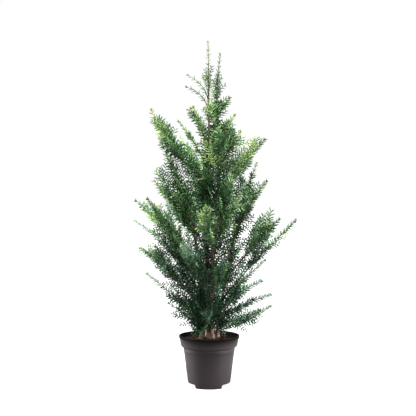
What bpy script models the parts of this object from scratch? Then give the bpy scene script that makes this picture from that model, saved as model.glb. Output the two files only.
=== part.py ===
"""A young yew with several stems, growing in a round nursery pot.

Metres, +Z up. The origin is the middle of the pot's underside. Azimuths are in degrees, seen from
above: 0 is +X (right), 90 is +Y (back), 180 is left and 270 is front.

Each stem and each branch is one curve. A branch's first stretch is bare wood, and the rest, with its
side shoots, is one mass of foliage. A side shoot is a flat spray: a ridged twig with needles to
either side, larger than life and fewer than on the real shoot.
"""

import math
import random
from collections import namedtuple

import bmesh
import bpy
from mathutils import Vector
from mathutils.bvhtree import BVHTree

# ---- Pot and soil ------------------------------------------------------------------------------
POT_HEIGHT = 0.171
RIM_RADIUS = 0.103
LIP_DEPTH = 0.008
LIP_EDGE = 0.001
COLLAR_TOP_RADIUS = 0.1008
COLLAR_FOOT_RADIUS = 0.0965
COLLAR_FOOT_HEIGHT = 0.1365
SHOULDER_RADIUS = 0.0872
SHOULDER_HEIGHT = 0.1275
RIDGE_HEIGHT = 0.117
RIDGE_STEP = 0.0014
WALL_FOOT_RADIUS = 0.0735
WALL_FOOT_HEIGHT = 0.020
FOOT_RADIUS = 0.0702
SKIRT = 0.003
WALL = 0.0020
FLOOR_CORNER = 0.002
FLOOR_HEIGHT = 0.008
FLOOR_THICKNESS = 0.0022
BOSS_RADIUS = 0.022
POT_SIDES = 32
SHARP_ANGLE = 30.0

# Each notch: its azimuth and its arc, in degrees.
NOTCHES = ((92.0, 46.0), (191.5, 76.0), (348.5, 84.0))
NOTCH_HEIGHT = 0.0125
NOTCH_DEPTH = 0.011
NOTCH_STEPS = 10
CUTTER_EXCESS = 0.005

GAP = 0.0003
SOIL_HEIGHT = 0.160
SOIL_RIM_DROP = 0.003
SOIL_GAP = 0.0005
SOIL_FLAT_RADIUS = 0.060

# ---- Wood --------------------------------------------------------------------------------------
# A stem's foot is wider than its trunk by FLARE, and the flare fades within a few FLARE_HEIGHTs.
FLARE = 0.45
FLARE_HEIGHT = 0.012
STEM_TAPER = 0.75
TOP_STEP = 0.9
STEM_SIDES = 7
STEM_STEPS = 9
BURIED_SHARE = 0.012
BOUGH_SHARE = 0.30
BOUGH_SIDES = 5
BOUGH_STEPS = 4
BOUGH_ROOT_RADIUS = 0.0036
TWIG_SIDES = 3
TWIG_STEP = 0.055
TWIG_ROOT_RADIUS = 0.0026
TWIG_TIP_RADIUS = 0.0012

# ---- Foliage -----------------------------------------------------------------------------------
# Side shoots stand SPRAY_SPACING apart along a limb and lean off it by LEAN degrees, less and less
# towards its tip, each with its own LEAN_JITTER, and LIFT turns them upward. Round the limb they turn
# by the golden angle. A blade is tilted by one of two ROLLS, so that it shows its face to every side.
SPRAY_SPACING = 0.0235
BARE_FOOT = 0.035
BARE_TOP = 0.010
FEWEST_SHOOTS = 3
LEAN_AT_ROOT = 50.0
LEAN_AT_TIP = 34.0
LEAN_JITTER = 7.0
LIFT = 0.22
GOLDEN_ANGLE = 137.5
UPRIGHT = 0.2
TURN_JITTER = 20.0
ROLLS = (45.0, 135.0)
ROLL_JITTER = 30.0
SHRINK = 0.55
SIZE_JITTER = 0.15
END_SPRAY = 0.045
END_OVERLAP = 0.012

# A spray's needles stand out from its twig past a bare foot: 3 pairs on a long spray, or else 2.
SPRAY_FOOT = 0.010
LONG_SPRAY = 0.070
NEEDLE = 0.030
NEEDLE_SHARE = 0.34
END_NEEDLE_SHARE = 0.22
NEEDLE_SWEEP = 1.3
FULLNESS = (0.35, 0.80)
POINT_SHARE = 0.8
SPRAY_ROOT_HALF = 0.0009
SPRAY_HALF = 0.0013
RIDGE = 1.3
CLEARANCE = 0.0009
TRIED_SIZES = (1.0, 0.8, 0.6)

# A stem rises from its foot on the soil to its tip. bulge pushes its middle sideways, wave sways it
# that many times, wood is the share that is bare trunk, and shoot is its longest side shoot.
Stem = namedtuple("Stem", "name foot tip bulge wave waves radius wood shoot")
STEMS = (
    Stem("leader", (-0.004, 0.018), (-0.004, 0.004, 1.176), (0, 0), (-0.0025, 0), 1.0, 0.0085, 0.80, 0.075),
    Stem("front", (0.009, -0.012), (0.037, -0.022, 1.123), (0, 0), (-0.008, 0), 1.5, 0.0080, 0.80, 0.075),
    Stem("left", (-0.024, -0.002), (-0.157, -0.010, 0.812), (0.045, 0), (0, 0), 1.0, 0.0070, 0.55, 0.115),
    Stem("right", (0.027, 0.004), (0.163, 0.020, 0.758), (-0.020, 0), (0, 0), 1.0, 0.0065, 0.58, 0.090),
    Stem("back", (0.004, 0.040), (-0.030, 0.150, 0.800), (0, -0.030), (0, 0), 1.0, 0.0065, 0.58, 0.110),
)

# A branch leaves its stem at a height above the ground, runs out by reach and up by climb, and bows
# upward by bow at its middle. shoot is its longest side shoot. A main branch has a bough of its own.
Branch = namedtuple("Branch", "name stem height azimuth reach climb bow shoot main")
BRANCHES = (
    Branch("left_crown", "leader", 0.680, 190, 0.195, 0.255, -0.018, 0.105, True),
    Branch("left_upper", "leader", 0.730, 160, 0.110, 0.175, 0.008, 0.090, False),
    Branch("left_inner", "leader", 0.800, 215, 0.070, 0.140, 0.006, 0.070, False),
    Branch("crown_left_low", "leader", 0.915, 190, 0.077, 0.102, 0.024, 0.035, False),
    Branch("crown_left_high", "leader", 0.940, 170, 0.072, 0.120, 0.023, 0.035, False),
    Branch("crown_back", "leader", 0.860, 80, 0.060, 0.120, 0.006, 0.065, False),
    Branch("crown_left", "leader", 0.820, 195, 0.055, 0.130, 0.006, 0.065, False),
    Branch("back_crown_left", "leader", 0.650, 130, 0.150, 0.205, 0.008, 0.110, False),
    Branch("back_crown_right", "leader", 0.740, 60, 0.110, 0.170, 0.008, 0.100, False),
    Branch("crown_right", "front", 0.880, 345, 0.045, 0.095, 0.010, 0.060, False),
    Branch("crown_front", "front", 0.840, 235, 0.055, 0.120, 0.006, 0.065, False),
    Branch("crown_right_low", "front", 0.800, 15, 0.060, 0.120, 0.006, 0.070, False),
    Branch("right_inner", "front", 0.760, 60, 0.065, 0.115, 0.006, 0.070, False),
    Branch("right_upper", "front", 0.720, 335, 0.080, 0.140, 0.006, 0.085, False),
    Branch("right_crown", "front", 0.640, 15, 0.165, 0.200, 0.006, 0.115, False),
    Branch("front_crown", "front", 0.700, 270, 0.090, 0.165, 0.008, 0.090, False),
    Branch("front_right", "front", 0.500, 295, 0.125, 0.210, 0.010, 0.110, False),
    Branch("front_middle", "front", 0.420, 260, 0.135, 0.185, 0.010, 0.110, False),
    Branch("front_low_left", "front", 0.300, 235, 0.165, 0.180, 0.010, 0.115, False),
    Branch("front_low_right", "front", 0.270, 290, 0.160, 0.160, 0.010, 0.115, False),
    Branch("front_foot", "front", 0.190, 260, 0.120, 0.075, 0.008, 0.080, False),
    Branch("left_high", "left", 0.500, 165, 0.145, 0.195, 0.010, 0.105, False),
    Branch("left_wide_high", "left", 0.360, 170, 0.230, 0.270, 0.014, 0.130, True),
    Branch("left_wide_front", "left", 0.320, 205, 0.200, 0.315, 0.010, 0.125, False),
    Branch("left_whip", "left", 0.280, 160, 0.260, 0.280, 0.034, 0.100, False),
    Branch("left_wide_low", "left", 0.250, 195, 0.215, 0.220, 0.014, 0.115, True),
    Branch("left_low", "left", 0.205, 175, 0.195, 0.175, 0.006, 0.085, False),
    Branch("left_foot", "left", 0.185, 205, 0.125, 0.100, 0.006, 0.070, False),
    Branch("right_middle", "right", 0.450, 345, 0.125, 0.245, 0.016, 0.085, True),
    Branch("right_wide_high", "right", 0.360, 340, 0.190, 0.205, 0.004, 0.130, True),
    Branch("right_wide", "right", 0.290, 5, 0.260, 0.275, 0.006, 0.075, True),
    Branch("right_low_back", "right", 0.250, 25, 0.175, 0.170, 0.010, 0.110, False),
    Branch("right_low", "right", 0.220, 340, 0.150, 0.140, 0.018, 0.085, False),
    Branch("right_low_wide", "right", 0.195, 10, 0.185, 0.110, 0.016, 0.085, False),
    Branch("right_foot", "right", 0.180, 345, 0.185, 0.095, 0.000, 0.090, False),
    Branch("back_left_high", "back", 0.440, 150, 0.135, 0.215, 0.010, 0.110, False),
    Branch("back_right_high", "back", 0.410, 40, 0.150, 0.215, 0.010, 0.110, False),
    Branch("back_left", "back", 0.300, 135, 0.195, 0.200, 0.014, 0.115, False),
    Branch("back_right", "back", 0.280, 50, 0.195, 0.190, 0.014, 0.115, False),
    Branch("back_low", "back", 0.225, 95, 0.185, 0.130, 0.012, 0.105, False),
    Branch("back_foot_left", "back", 0.190, 145, 0.145, 0.085, 0.008, 0.080, False),
    Branch("back_foot_right", "back", 0.185, 30, 0.140, 0.075, 0.008, 0.080, False),
)

# A side shoot, or the end of a limb: where it starts, where it heads, the way its upper face looks,
# its length, and how far its longest needles stand out to the side.
Shoot = namedtuple("Shoot", "root along flat length needle")

# ---- Materials ---------------------------------------------------------------------------------
POT_PLASTIC = ("pot_plastic", (0.055, 0.047, 0.050), 0.45)
POTTING_SOIL = ("potting_soil", (0.020, 0.011, 0.007), 0.95)
YEW_BARK = ("yew_bark", (0.130, 0.062, 0.040), 0.85)
YEW_NEEDLES = ("yew_needles", (0.035, 0.095, 0.034), 0.45)


def material(kind):
    """The material of that name, made the first time it is asked for."""
    name, colour, roughness = kind
    found = bpy.data.materials.get(name)
    if found is None:
        found = bpy.data.materials.new(name)
        found.use_nodes = True
        shader = found.node_tree.nodes["Principled BSDF"]
        shader.inputs["Base Color"].default_value = (*colour, 1)
        shader.inputs["Roughness"].default_value = roughness
        shader.inputs["Metallic"].default_value = 0
    return found


# ---- Small tools -------------------------------------------------------------------------------
def clear_scene():
    for obj in list(bpy.data.objects):
        bpy.data.objects.remove(obj, do_unlink=True)


def new_collection(name):
    collection = bpy.data.collections.new(name)
    bpy.context.scene.collection.children.link(collection)
    return collection


def add_object(name, data, collection, kind=None):
    obj = bpy.data.objects.new(name, data)
    collection.objects.link(obj)
    if kind is not None:
        obj.data.materials.append(material(kind))
    return obj


def as_helper(obj):
    """Marks a cutter or a guide, which is no part of the tree."""
    obj.hide_render = True
    obj.display_type = "WIRE"
    return obj


def outward(mesh, weld=0.0):
    """Welds what is nearer than weld, drops stray wire and turns the faces outward."""
    shape = bmesh.new()
    shape.from_mesh(mesh)
    if weld:
        bmesh.ops.remove_doubles(shape, verts=shape.verts, dist=weld)
    bmesh.ops.recalc_face_normals(shape, faces=shape.faces)
    shape.to_mesh(mesh)
    shape.free()


def smooth(obj):
    """Smooth shading, with the sharp edges kept."""
    obj.data.shade_smooth()
    obj.data.set_sharp_from_angle(angle=math.radians(SHARP_ANGLE))


def evaluated_mesh(obj):
    """The mesh of an object with its modifiers applied, in world space."""
    bpy.context.view_layer.update()
    graph = bpy.context.evaluated_depsgraph_get()
    mesh = bpy.data.meshes.new_from_object(obj.evaluated_get(graph))
    mesh.transform(obj.matrix_world)
    return mesh


def apply_boolean(obj, operation, other):
    """Cuts obj with an object, or joins a collection to it, and applies that."""
    boolean = obj.modifiers.new(operation.lower(), "BOOLEAN")
    boolean.operation = operation
    boolean.solver = "EXACT"
    if isinstance(other, bpy.types.Collection):
        boolean.operand_type = "COLLECTION"
        boolean.collection = other
    else:
        boolean.object = other
    mesh = evaluated_mesh(obj)
    obj.modifiers.remove(boolean)
    old = obj.data
    obj.data = mesh
    bpy.data.meshes.remove(old)


def largest_body(mesh):
    """Keeps the biggest closed shell: a loose scrap goes, and a sealed hollow is filled."""
    shape = bmesh.new()
    shape.from_mesh(mesh)
    left = set(shape.verts)
    shells = []
    while left:
        shell, edge = set(), [left.pop()]
        while edge:
            vert = edge.pop()
            shell.add(vert)
            near = {link.other_vert(vert) for link in vert.link_edges} & left
            left -= near
            edge.extend(near)
        shells.append(shell)
    shells.sort(key=len)
    for shell in shells[:-1]:
        bmesh.ops.delete(shape, geom=list(shell), context="VERTS")
    shape.to_mesh(mesh)
    shape.free()


# ---- Limbs -------------------------------------------------------------------------------------
def stem_point(stem, share):
    """Where a stem's middle line is, from 0 at its foot to 1 at its tip."""
    foot = Vector((*stem.foot, SOIL_HEIGHT + GAP))
    tip = Vector(stem.tip)
    bulge = Vector((*stem.bulge, 0)) * (4 * share * (1 - share))
    wave = Vector((*stem.wave, 0)) * math.sin(math.tau * stem.waves * share)
    return foot.lerp(tip, share) + bulge + wave


def stem_length(stem):
    return stem.tip[2] - SOIL_HEIGHT


def stem_radius(stem, share):
    """A stem thins towards its tip, and flares at its foot."""
    height = share * stem_length(stem)
    plain = max(TWIG_TIP_RADIUS, stem.radius * (1 - share) ** STEM_TAPER)
    return plain * (1 + FLARE * math.exp(-height / FLARE_HEIGHT))


def share_at_height(stem, height):
    """A stem climbs evenly, so its height gives the share."""
    return (height - SOIL_HEIGHT - GAP) / (stem.tip[2] - SOIL_HEIGHT - GAP)


def branch_point(branch, share):
    """Where a branch's middle line is, from 0 in its stem's heart to 1 at its tip."""
    stem = STEM[branch.stem]
    start = stem_point(stem, share_at_height(stem, branch.height))
    turn = math.radians(branch.azimuth)
    out = Vector((math.cos(turn), math.sin(turn), 0))
    chord = out * branch.reach + Vector((0, 0, branch.climb))
    above = (Vector((0, 0, branch.reach)) - out * branch.climb).normalized()
    return start + chord * share + above * (branch.bow * 4 * share * (1 - share))


def branch_length(branch):
    return math.hypot(branch.reach, branch.climb)


def between(start, end, share):
    return start + (end - start) * share


def section(sides, helpers):
    """A regular polygon of radius 1 that tubes take their section from."""
    name = f"section_{sides}"
    if name in bpy.data.objects:
        return bpy.data.objects[name]
    curve = bpy.data.curves.new(name, "CURVE")
    spline = curve.splines.new("POLY")
    spline.points.add(sides - 1)
    for i, point in enumerate(spline.points):
        turn = math.tau * i / sides
        point.co = (math.cos(turn), math.sin(turn), 0, 1)
    spline.use_cyclic_u = True
    return as_helper(add_object(name, curve, helpers))


def tube(name, points, radii, sides, helpers, collection, kind=None):
    """A tapering limb through points, closed at both ends, as a mesh object."""
    curve = bpy.data.curves.new(name, "CURVE")
    curve.dimensions = "3D"
    curve.bevel_mode = "OBJECT"
    curve.bevel_object = section(sides, helpers)
    curve.use_fill_caps = True
    spline = curve.splines.new("POLY")
    spline.points.add(len(points) - 1)
    for point, place, radius in zip(spline.points, points, radii):
        point.co = (*place, 1)
        point.radius = radius
    guide = add_object(name + "_guide", curve, helpers)
    mesh = evaluated_mesh(guide)
    bpy.data.objects.remove(guide)
    outward(mesh, weld=1e-6)
    return add_object(name, mesh, collection, kind)


def cut_flat(obj, height):
    """Cuts a limb level at that height and closes the cut."""
    shape = bmesh.new()
    shape.from_mesh(obj.data)
    everything = shape.verts[:] + shape.edges[:] + shape.faces[:]
    cut = bmesh.ops.bisect_plane(
        shape, geom=everything, plane_co=(0, 0, height), plane_no=(0, 0, 1), clear_inner=True
    )
    rim = [item for item in cut["geom_cut"] if isinstance(item, bmesh.types.BMEdge)]
    bmesh.ops.edgeloop_fill(shape, edges=rim)
    bmesh.ops.recalc_face_normals(shape, faces=shape.faces)
    shape.to_mesh(obj.data)
    shape.free()


def stem_tube(stem, name, swell, helpers, collection, kind=None):
    """A stem's bare wood from below its foot to where the foliage takes over."""
    shares = [-BURIED_SHARE] + [stem.wood * i / STEM_STEPS for i in range(STEM_STEPS + 1)]
    shares.insert(2, 0.5 * FLARE_HEIGHT / stem_length(stem))
    points = [stem_point(stem, share) for share in shares]
    radii = [stem_radius(stem, max(share, 0)) + swell for share in shares]
    return tube(name, points, radii, STEM_SIDES, helpers, collection, kind)


def make_stem(stem, helpers, parts):
    obj = stem_tube(stem, f"stem_{stem.name}", 0, helpers, parts, YEW_BARK)
    cut_flat(obj, SOIL_HEIGHT + GAP)
    smooth(obj)
    return obj


def limb_between(name, place, ends, radii, steps, sides, helpers, collection, kind):
    """A tube along place(share) between two shares of a limb."""
    shares = [between(*ends, i / steps) for i in range(steps + 1)]
    points = [place(share) for share in shares]
    widths = [between(*radii, i / steps) for i in range(steps + 1)]
    return tube(name, points, widths, sides, helpers, collection, kind)


# ---- Foliage -----------------------------------------------------------------------------------
def spray_shape(shoot, swell=0.0):
    """Corners and triangles of a flat spray. Its twig is a spine with a ridge on top, bare at the
    foot, and between one station of the spine and the next a needle stands out to each side."""
    pairs = 3 if shoot.length > LONG_SPRAY else 2
    side = shoot.flat.cross(shoot.along)
    pitch = (shoot.length - SPRAY_FOOT) / (pairs + POINT_SHARE)
    stations = [0] + [SPRAY_FOOT + pitch * k for k in range(pairs + 1)]
    corners, faces = [], [(0, 1, 2)]
    for k, distance in enumerate(stations):
        centre = shoot.root + shoot.along * distance - shoot.flat * swell
        half = swell + (between(SPRAY_HALF, SPRAY_HALF / 2, (k - 1) / pairs) if k else SPRAY_ROOT_HALF)
        corners += [centre + side * half, centre - side * half, centre + shoot.flat * (RIDGE * half)]
    for k in range(pairs + 1):
        left, right, ridge = range(3 * k, 3 * k + 3)
        faces += [(left, right, left + 3), (right, right + 3, left + 3)]
        if k == 0:
            faces += [(left, ridge + 3, ridge), (left, left + 3, ridge + 3)]
            faces += [(right, ridge, ridge + 3), (right, ridge + 3, right + 3)]
            continue
        fullness = math.sin(math.pi * between(*FULLNESS, (k - 1) / pairs))
        needle = shoot.root + shoot.along * (stations[k] + pitch * NEEDLE_SWEEP)
        for tip_side, near in ((1, left), (-1, right)):
            tip = len(corners)
            corners.append(needle + side * (tip_side * (shoot.needle * fullness + swell)))
            faces += [(near, tip, ridge), (ridge, tip, ridge + 3), (ridge + 3, tip, near + 3)]
            faces.append((near, near + 3, tip))
    tip = len(corners)
    corners.append(shoot.root + shoot.along * (shoot.length + swell))
    last = 3 * (pairs + 1)
    faces += [(last, last + 1, tip), (last + 1, last + 2, tip), (last + 2, last, tip)]
    return corners, faces


def beside(along):
    """A level direction to the left of a limb, or any if the limb is upright."""
    left = Vector((0, 0, 1)).cross(along)
    if left.length < UPRIGHT:
        left = Vector((0, 1, 0)).cross(along)
    return left.normalized()


def around(along, degrees):
    """The direction across a limb at an angle round it, counted from its left side."""
    left = beside(along)
    turn = math.radians(degrees)
    return left * math.cos(turn) + along.cross(left) * math.sin(turn)


def side_shoots(name, place, first, last, length, longest):
    """The side shoots of a limb from its foliage's first share to its last, drawn by a rule seeded
    with the limb's name. They run round it by the golden angle, and the last item is its own end."""
    rng = random.Random(name)
    count = max(FEWEST_SHOOTS, round((last - first) * length / SPRAY_SPACING))
    start = rng.uniform(0, 360)
    shoots = []
    for i in range(count):
        share = (i + rng.uniform(0.25, 0.75)) / count
        lean = between(LEAN_AT_ROOT, LEAN_AT_TIP, share) + rng.uniform(-LEAN_JITTER, LEAN_JITTER)
        size = longest * (1 - SHRINK * share) * rng.uniform(1 - SIZE_JITTER, 1 + SIZE_JITTER)
        turn = start + GOLDEN_ANGLE * i + rng.uniform(-TURN_JITTER, TURN_JITTER)
        roll = rng.choice(ROLLS) + rng.uniform(-ROLL_JITTER, ROLL_JITTER)
        root = place(between(first, last, share))
        along = (place(between(first, last, share) + 0.01) - root).normalized()
        straight, aside = math.cos(math.radians(lean)), math.sin(math.radians(lean))
        heading = along * straight + around(along, turn) * aside + Vector((0, 0, LIFT))
        heading.normalize()
        needle = min(NEEDLE, size * NEEDLE_SHARE)
        shoots.append(Shoot(root, heading, around(heading, roll), size, needle))
    root = place(last - END_OVERLAP / length)
    heading = (place(1) - root).normalized()
    roll = rng.choice(ROLLS) + rng.uniform(-ROLL_JITTER, ROLL_JITTER)
    size = (place(1) - root).length
    shoots.append(Shoot(root, heading, around(heading, roll), size, size * END_NEEDLE_SHARE))
    return shoots


def spray_mesh(shoot):
    corners, faces = spray_shape(shoot)
    mesh = bpy.data.meshes.new("spray")
    mesh.from_pydata(corners, [], faces)
    outward(mesh)
    return mesh


def tree_of(mesh):
    corners = [vert.co.copy() for vert in mesh.vertices]
    return BVHTree.FromPolygons(corners, [tuple(face.vertices) for face in mesh.polygons])


def fits(shoot, others):
    """True if a spray, swollen by the clearance, touches none of the other pieces."""
    tree = BVHTree.FromPolygons(*spray_shape(shoot, CLEARANCE))
    return not any(tree.overlap(other) for other in others)


def grow_foliage(twig, shoots, taken):
    """Fuses onto a mass's twig the sprays that stay clear of each other and of every other piece.
    One that doesn't fit is tried shorter, and is then left out."""
    others = [tree for piece, tree in taken.items() if piece != twig.name]
    sprays = new_collection(twig.name + "_sprays")
    for shoot in reversed(shoots):
        for share in TRIED_SIZES:
            trial = shoot._replace(length=shoot.length * share, needle=shoot.needle * share)
            if fits(trial, others):
                spray = add_object(twig.name + "_spray", spray_mesh(trial), sprays)
                others.append(tree_of(spray.data))
                break
    apply_boolean(twig, "UNION", sprays)
    largest_body(twig.data)
    for obj in list(sprays.objects):
        bpy.data.objects.remove(obj)
    bpy.data.collections.remove(sprays)
    taken[twig.name] = tree_of(twig.data)


# ---- Pot and soil ------------------------------------------------------------------------------
def turned(name, profile, collection, kind=None):
    """A turned solid from a profile of (radius, height) that runs down its outer side."""
    mesh = bpy.data.meshes.new(name)
    corners = [(radius, 0, height) for radius, height in profile]
    ring = [(i, i + 1) for i in range(len(corners) - 1)]
    mesh.from_pydata(corners, ring, [])
    obj = add_object(name, mesh, collection, kind)
    screw = obj.modifiers.new("turn", "SCREW")
    screw.steps = screw.render_steps = POT_SIDES
    screw.use_merge_vertices = True
    screw.merge_threshold = 0.00005
    turned_mesh = evaluated_mesh(obj)
    obj.modifiers.remove(screw)
    obj.data = turned_mesh
    bpy.data.meshes.remove(mesh)
    outward(turned_mesh, weld=1e-6)
    return obj


def pot_profile():
    """The pot's wall from the lip down its outside, under its floor and back up its inside."""
    outside = [
        (RIM_RADIUS - LIP_EDGE, POT_HEIGHT),
        (RIM_RADIUS, POT_HEIGHT - LIP_EDGE),
        (RIM_RADIUS, POT_HEIGHT - LIP_DEPTH),
        (COLLAR_TOP_RADIUS, POT_HEIGHT - LIP_DEPTH),
        (COLLAR_FOOT_RADIUS, COLLAR_FOOT_HEIGHT),
        (SHOULDER_RADIUS, SHOULDER_HEIGHT),
        (SHOULDER_RADIUS - RIDGE_STEP, RIDGE_HEIGHT),
        (WALL_FOOT_RADIUS, WALL_FOOT_HEIGHT),
        (FOOT_RADIUS, 0),
    ]
    under = [
        (FOOT_RADIUS - SKIRT, 0),
        (FOOT_RADIUS - SKIRT, FLOOR_HEIGHT),
        (BOSS_RADIUS, FLOOR_HEIGHT),
        (BOSS_RADIUS, 0),
        (0, 0),
        (0, FLOOR_HEIGHT + FLOOR_THICKNESS),
    ]
    return outside + under + inside_profile() + [(COLLAR_TOP_RADIUS - WALL, POT_HEIGHT), outside[0]]


def inside_profile():
    """The inner wall from the floor up to the collar."""
    return [
        (WALL_FOOT_RADIUS - WALL - FLOOR_CORNER, FLOOR_HEIGHT + FLOOR_THICKNESS),
        (SHOULDER_RADIUS - WALL, SHOULDER_HEIGHT + WALL / 2),
        (COLLAR_FOOT_RADIUS - WALL, COLLAR_FOOT_HEIGHT + WALL / 2),
    ]


def notch_cutter(azimuth, arc, helpers):
    """A wedge of a ring that cuts a drainage notch through the foot of the wall."""
    inner, outer = FOOT_RADIUS - NOTCH_DEPTH, WALL_FOOT_RADIUS + CUTTER_EXCESS
    shares = [i / NOTCH_STEPS - 0.5 for i in range(NOTCH_STEPS + 1)]
    turns = [math.radians(azimuth + arc * share) for share in shares]
    ring = [(outer, turn) for turn in turns] + [(inner, turn) for turn in reversed(turns)]
    corners = [(r * math.cos(turn), r * math.sin(turn), -CUTTER_EXCESS) for r, turn in ring]
    shape = bmesh.new()
    face = shape.faces.new([shape.verts.new(corner) for corner in corners])
    raised = bmesh.ops.extrude_face_region(shape, geom=[face])
    top = [item for item in raised["geom"] if isinstance(item, bmesh.types.BMVert)]
    bmesh.ops.translate(shape, verts=top, vec=(0, 0, NOTCH_HEIGHT + CUTTER_EXCESS))
    bmesh.ops.recalc_face_normals(shape, faces=shape.faces)
    mesh = bpy.data.meshes.new("notch")
    shape.to_mesh(mesh)
    shape.free()
    return as_helper(add_object(f"notch_{azimuth:.0f}", mesh, helpers))


def make_pot(helpers, parts):
    pot = turned("pot", pot_profile(), parts, POT_PLASTIC)
    for azimuth, arc in NOTCHES:
        apply_boolean(pot, "DIFFERENCE", notch_cutter(azimuth, arc, helpers))
    smooth(pot)
    return pot


def make_soil(parts):
    """The soil fills the pot to just under its rim, flat where the stems stand."""
    side = [(radius - SOIL_GAP, height) for radius, height in inside_profile()]
    floor = FLOOR_HEIGHT + FLOOR_THICKNESS + GAP
    collar_foot, edge_height = COLLAR_FOOT_HEIGHT + WALL / 2, SOIL_HEIGHT - SOIL_RIM_DROP
    up_collar = (edge_height - collar_foot) / (POT_HEIGHT - collar_foot)
    edge = between(COLLAR_FOOT_RADIUS, COLLAR_TOP_RADIUS, up_collar) - WALL - SOIL_GAP
    top = [(0, SOIL_HEIGHT), (SOIL_FLAT_RADIUS, SOIL_HEIGHT), (edge, edge_height)]
    profile = top + [side[2], side[1], (side[0][0], floor), (0, floor)]
    return turned("soil", profile, parts, POTTING_SOIL)


# ---- Assembly ----------------------------------------------------------------------------------
STEM = {stem.name: stem for stem in STEMS}


def make_top(stem, helpers, parts):
    """A stem's top: the twig that goes on where its bare trunk ends, and its side shoots."""

    def place(share):
        return stem_point(stem, share)

    length = stem_length(stem)
    start, end = stem.wood + GAP / length, 1 - END_SPRAY / length
    radii = (stem_radius(stem, stem.wood) * TOP_STEP, TWIG_TIP_RADIUS)
    steps = round((end - start) * length / TWIG_STEP)
    name = f"foliage_top_{stem.name}"
    twig = limb_between(name, place, (start, end), radii, steps, TWIG_SIDES, helpers, parts, YEW_NEEDLES)
    return twig, side_shoots(name, place, start + BARE_TOP / length, end, length, stem.shoot)


def make_branch(branch, cutter, helpers, parts):
    """A branch's bough, if it has one, then its foliage's twig and side shoots. The first piece is
    cut clear of the stem."""

    def place(share):
        return branch_point(branch, share)

    length = branch_length(branch)
    pieces, start, first = [], 0, BARE_FOOT / length
    if branch.main:
        start = BOUGH_SHARE + GAP / length
        first = start + BARE_TOP / length
        name, ends, radii = f"bough_{branch.name}", (0, BOUGH_SHARE), (BOUGH_ROOT_RADIUS, TWIG_ROOT_RADIUS)
        pieces.append(
            limb_between(name, place, ends, radii, BOUGH_STEPS, BOUGH_SIDES, helpers, parts, YEW_BARK)
        )
    end = 1 - END_SPRAY / length
    radii = (TWIG_ROOT_RADIUS, TWIG_TIP_RADIUS)
    steps = max(2, round((end - start) * length / TWIG_STEP))
    name = f"foliage_{branch.name}"
    pieces.append(
        limb_between(name, place, (start, end), radii, steps, TWIG_SIDES, helpers, parts, YEW_NEEDLES)
    )
    apply_boolean(pieces[0], "DIFFERENCE", cutter)
    if branch.main:
        smooth(pieces[0])
    return pieces, side_shoots(name, place, first, end, length, branch.shoot)


def make_tree(helpers, parts):
    """All the limbs, and for each mass its twig with the side shoots to fuse to it."""
    limbs, cutters, plans = [], {}, []
    for stem in STEMS:
        limbs.append(make_stem(stem, helpers, parts))
        cutters[stem.name] = as_helper(stem_tube(stem, f"cutter_{stem.name}", GAP, helpers, helpers))
        twig, shoots = make_top(stem, helpers, parts)
        limbs.append(twig)
        plans.append((twig, shoots))
    for branch in BRANCHES:
        pieces, shoots = make_branch(branch, cutters[branch.stem], helpers, parts)
        limbs += pieces
        plans.append((pieces[-1], shoots))
    return limbs, plans


def main():
    clear_scene()
    parts = new_collection("potted_yew")
    helpers = new_collection("helpers")
    limbs, plans = make_tree(helpers, parts)
    limbs.append(make_pot(helpers, parts))
    limbs.append(make_soil(parts))
    taken = {limb.name: tree_of(limb.data) for limb in limbs}
    for twig, shoots in plans:
        grow_foliage(twig, shoots, taken)
    for helper in list(helpers.objects):
        bpy.data.objects.remove(helper)


main()
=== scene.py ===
# %% [markdown]
# # A potted yew
# A young yew as a nursery sells it: five upright stems in a plastic pot, wrapped in flat sprays of
# dark needles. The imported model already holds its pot, soil, stems, boughs and
# masses of foliage at their real size. This lesson dresses them: every piece below is placed by
# the same sizes, so nothing has to be fitted afterwards.

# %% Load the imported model
import math
import random
from collections import namedtuple

import bmesh
import bpy
import numpy as np
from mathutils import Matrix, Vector, noise


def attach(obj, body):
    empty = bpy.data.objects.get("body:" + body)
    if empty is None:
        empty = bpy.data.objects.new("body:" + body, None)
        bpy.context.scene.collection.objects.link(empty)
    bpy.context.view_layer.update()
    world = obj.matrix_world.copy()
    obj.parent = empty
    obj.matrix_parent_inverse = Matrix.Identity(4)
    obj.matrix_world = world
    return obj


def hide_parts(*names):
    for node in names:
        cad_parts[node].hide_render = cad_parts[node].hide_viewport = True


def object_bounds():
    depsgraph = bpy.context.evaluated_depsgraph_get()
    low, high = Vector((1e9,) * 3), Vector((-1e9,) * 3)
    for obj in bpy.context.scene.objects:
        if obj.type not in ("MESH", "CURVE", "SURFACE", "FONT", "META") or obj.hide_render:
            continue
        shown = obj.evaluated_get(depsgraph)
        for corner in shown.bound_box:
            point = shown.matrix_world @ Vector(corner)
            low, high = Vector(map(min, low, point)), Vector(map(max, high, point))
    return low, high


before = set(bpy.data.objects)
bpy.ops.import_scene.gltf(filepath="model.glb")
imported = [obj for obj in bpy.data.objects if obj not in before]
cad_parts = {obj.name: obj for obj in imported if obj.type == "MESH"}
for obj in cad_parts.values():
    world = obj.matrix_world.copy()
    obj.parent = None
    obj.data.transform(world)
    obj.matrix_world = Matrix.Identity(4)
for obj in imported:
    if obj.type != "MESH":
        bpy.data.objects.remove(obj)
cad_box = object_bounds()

print("nodes in the packed model:", len(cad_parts))

# %% [markdown]
# ## Nodes and objects in short
# The sky, the floor and every finish are small trees of nodes. Written out, each link and each value
# takes a line of its own. The helpers here take a node's inputs as one list instead, where a number
# or a colour is set and another node's output is linked, so that a finish reads like a recipe.

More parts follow.
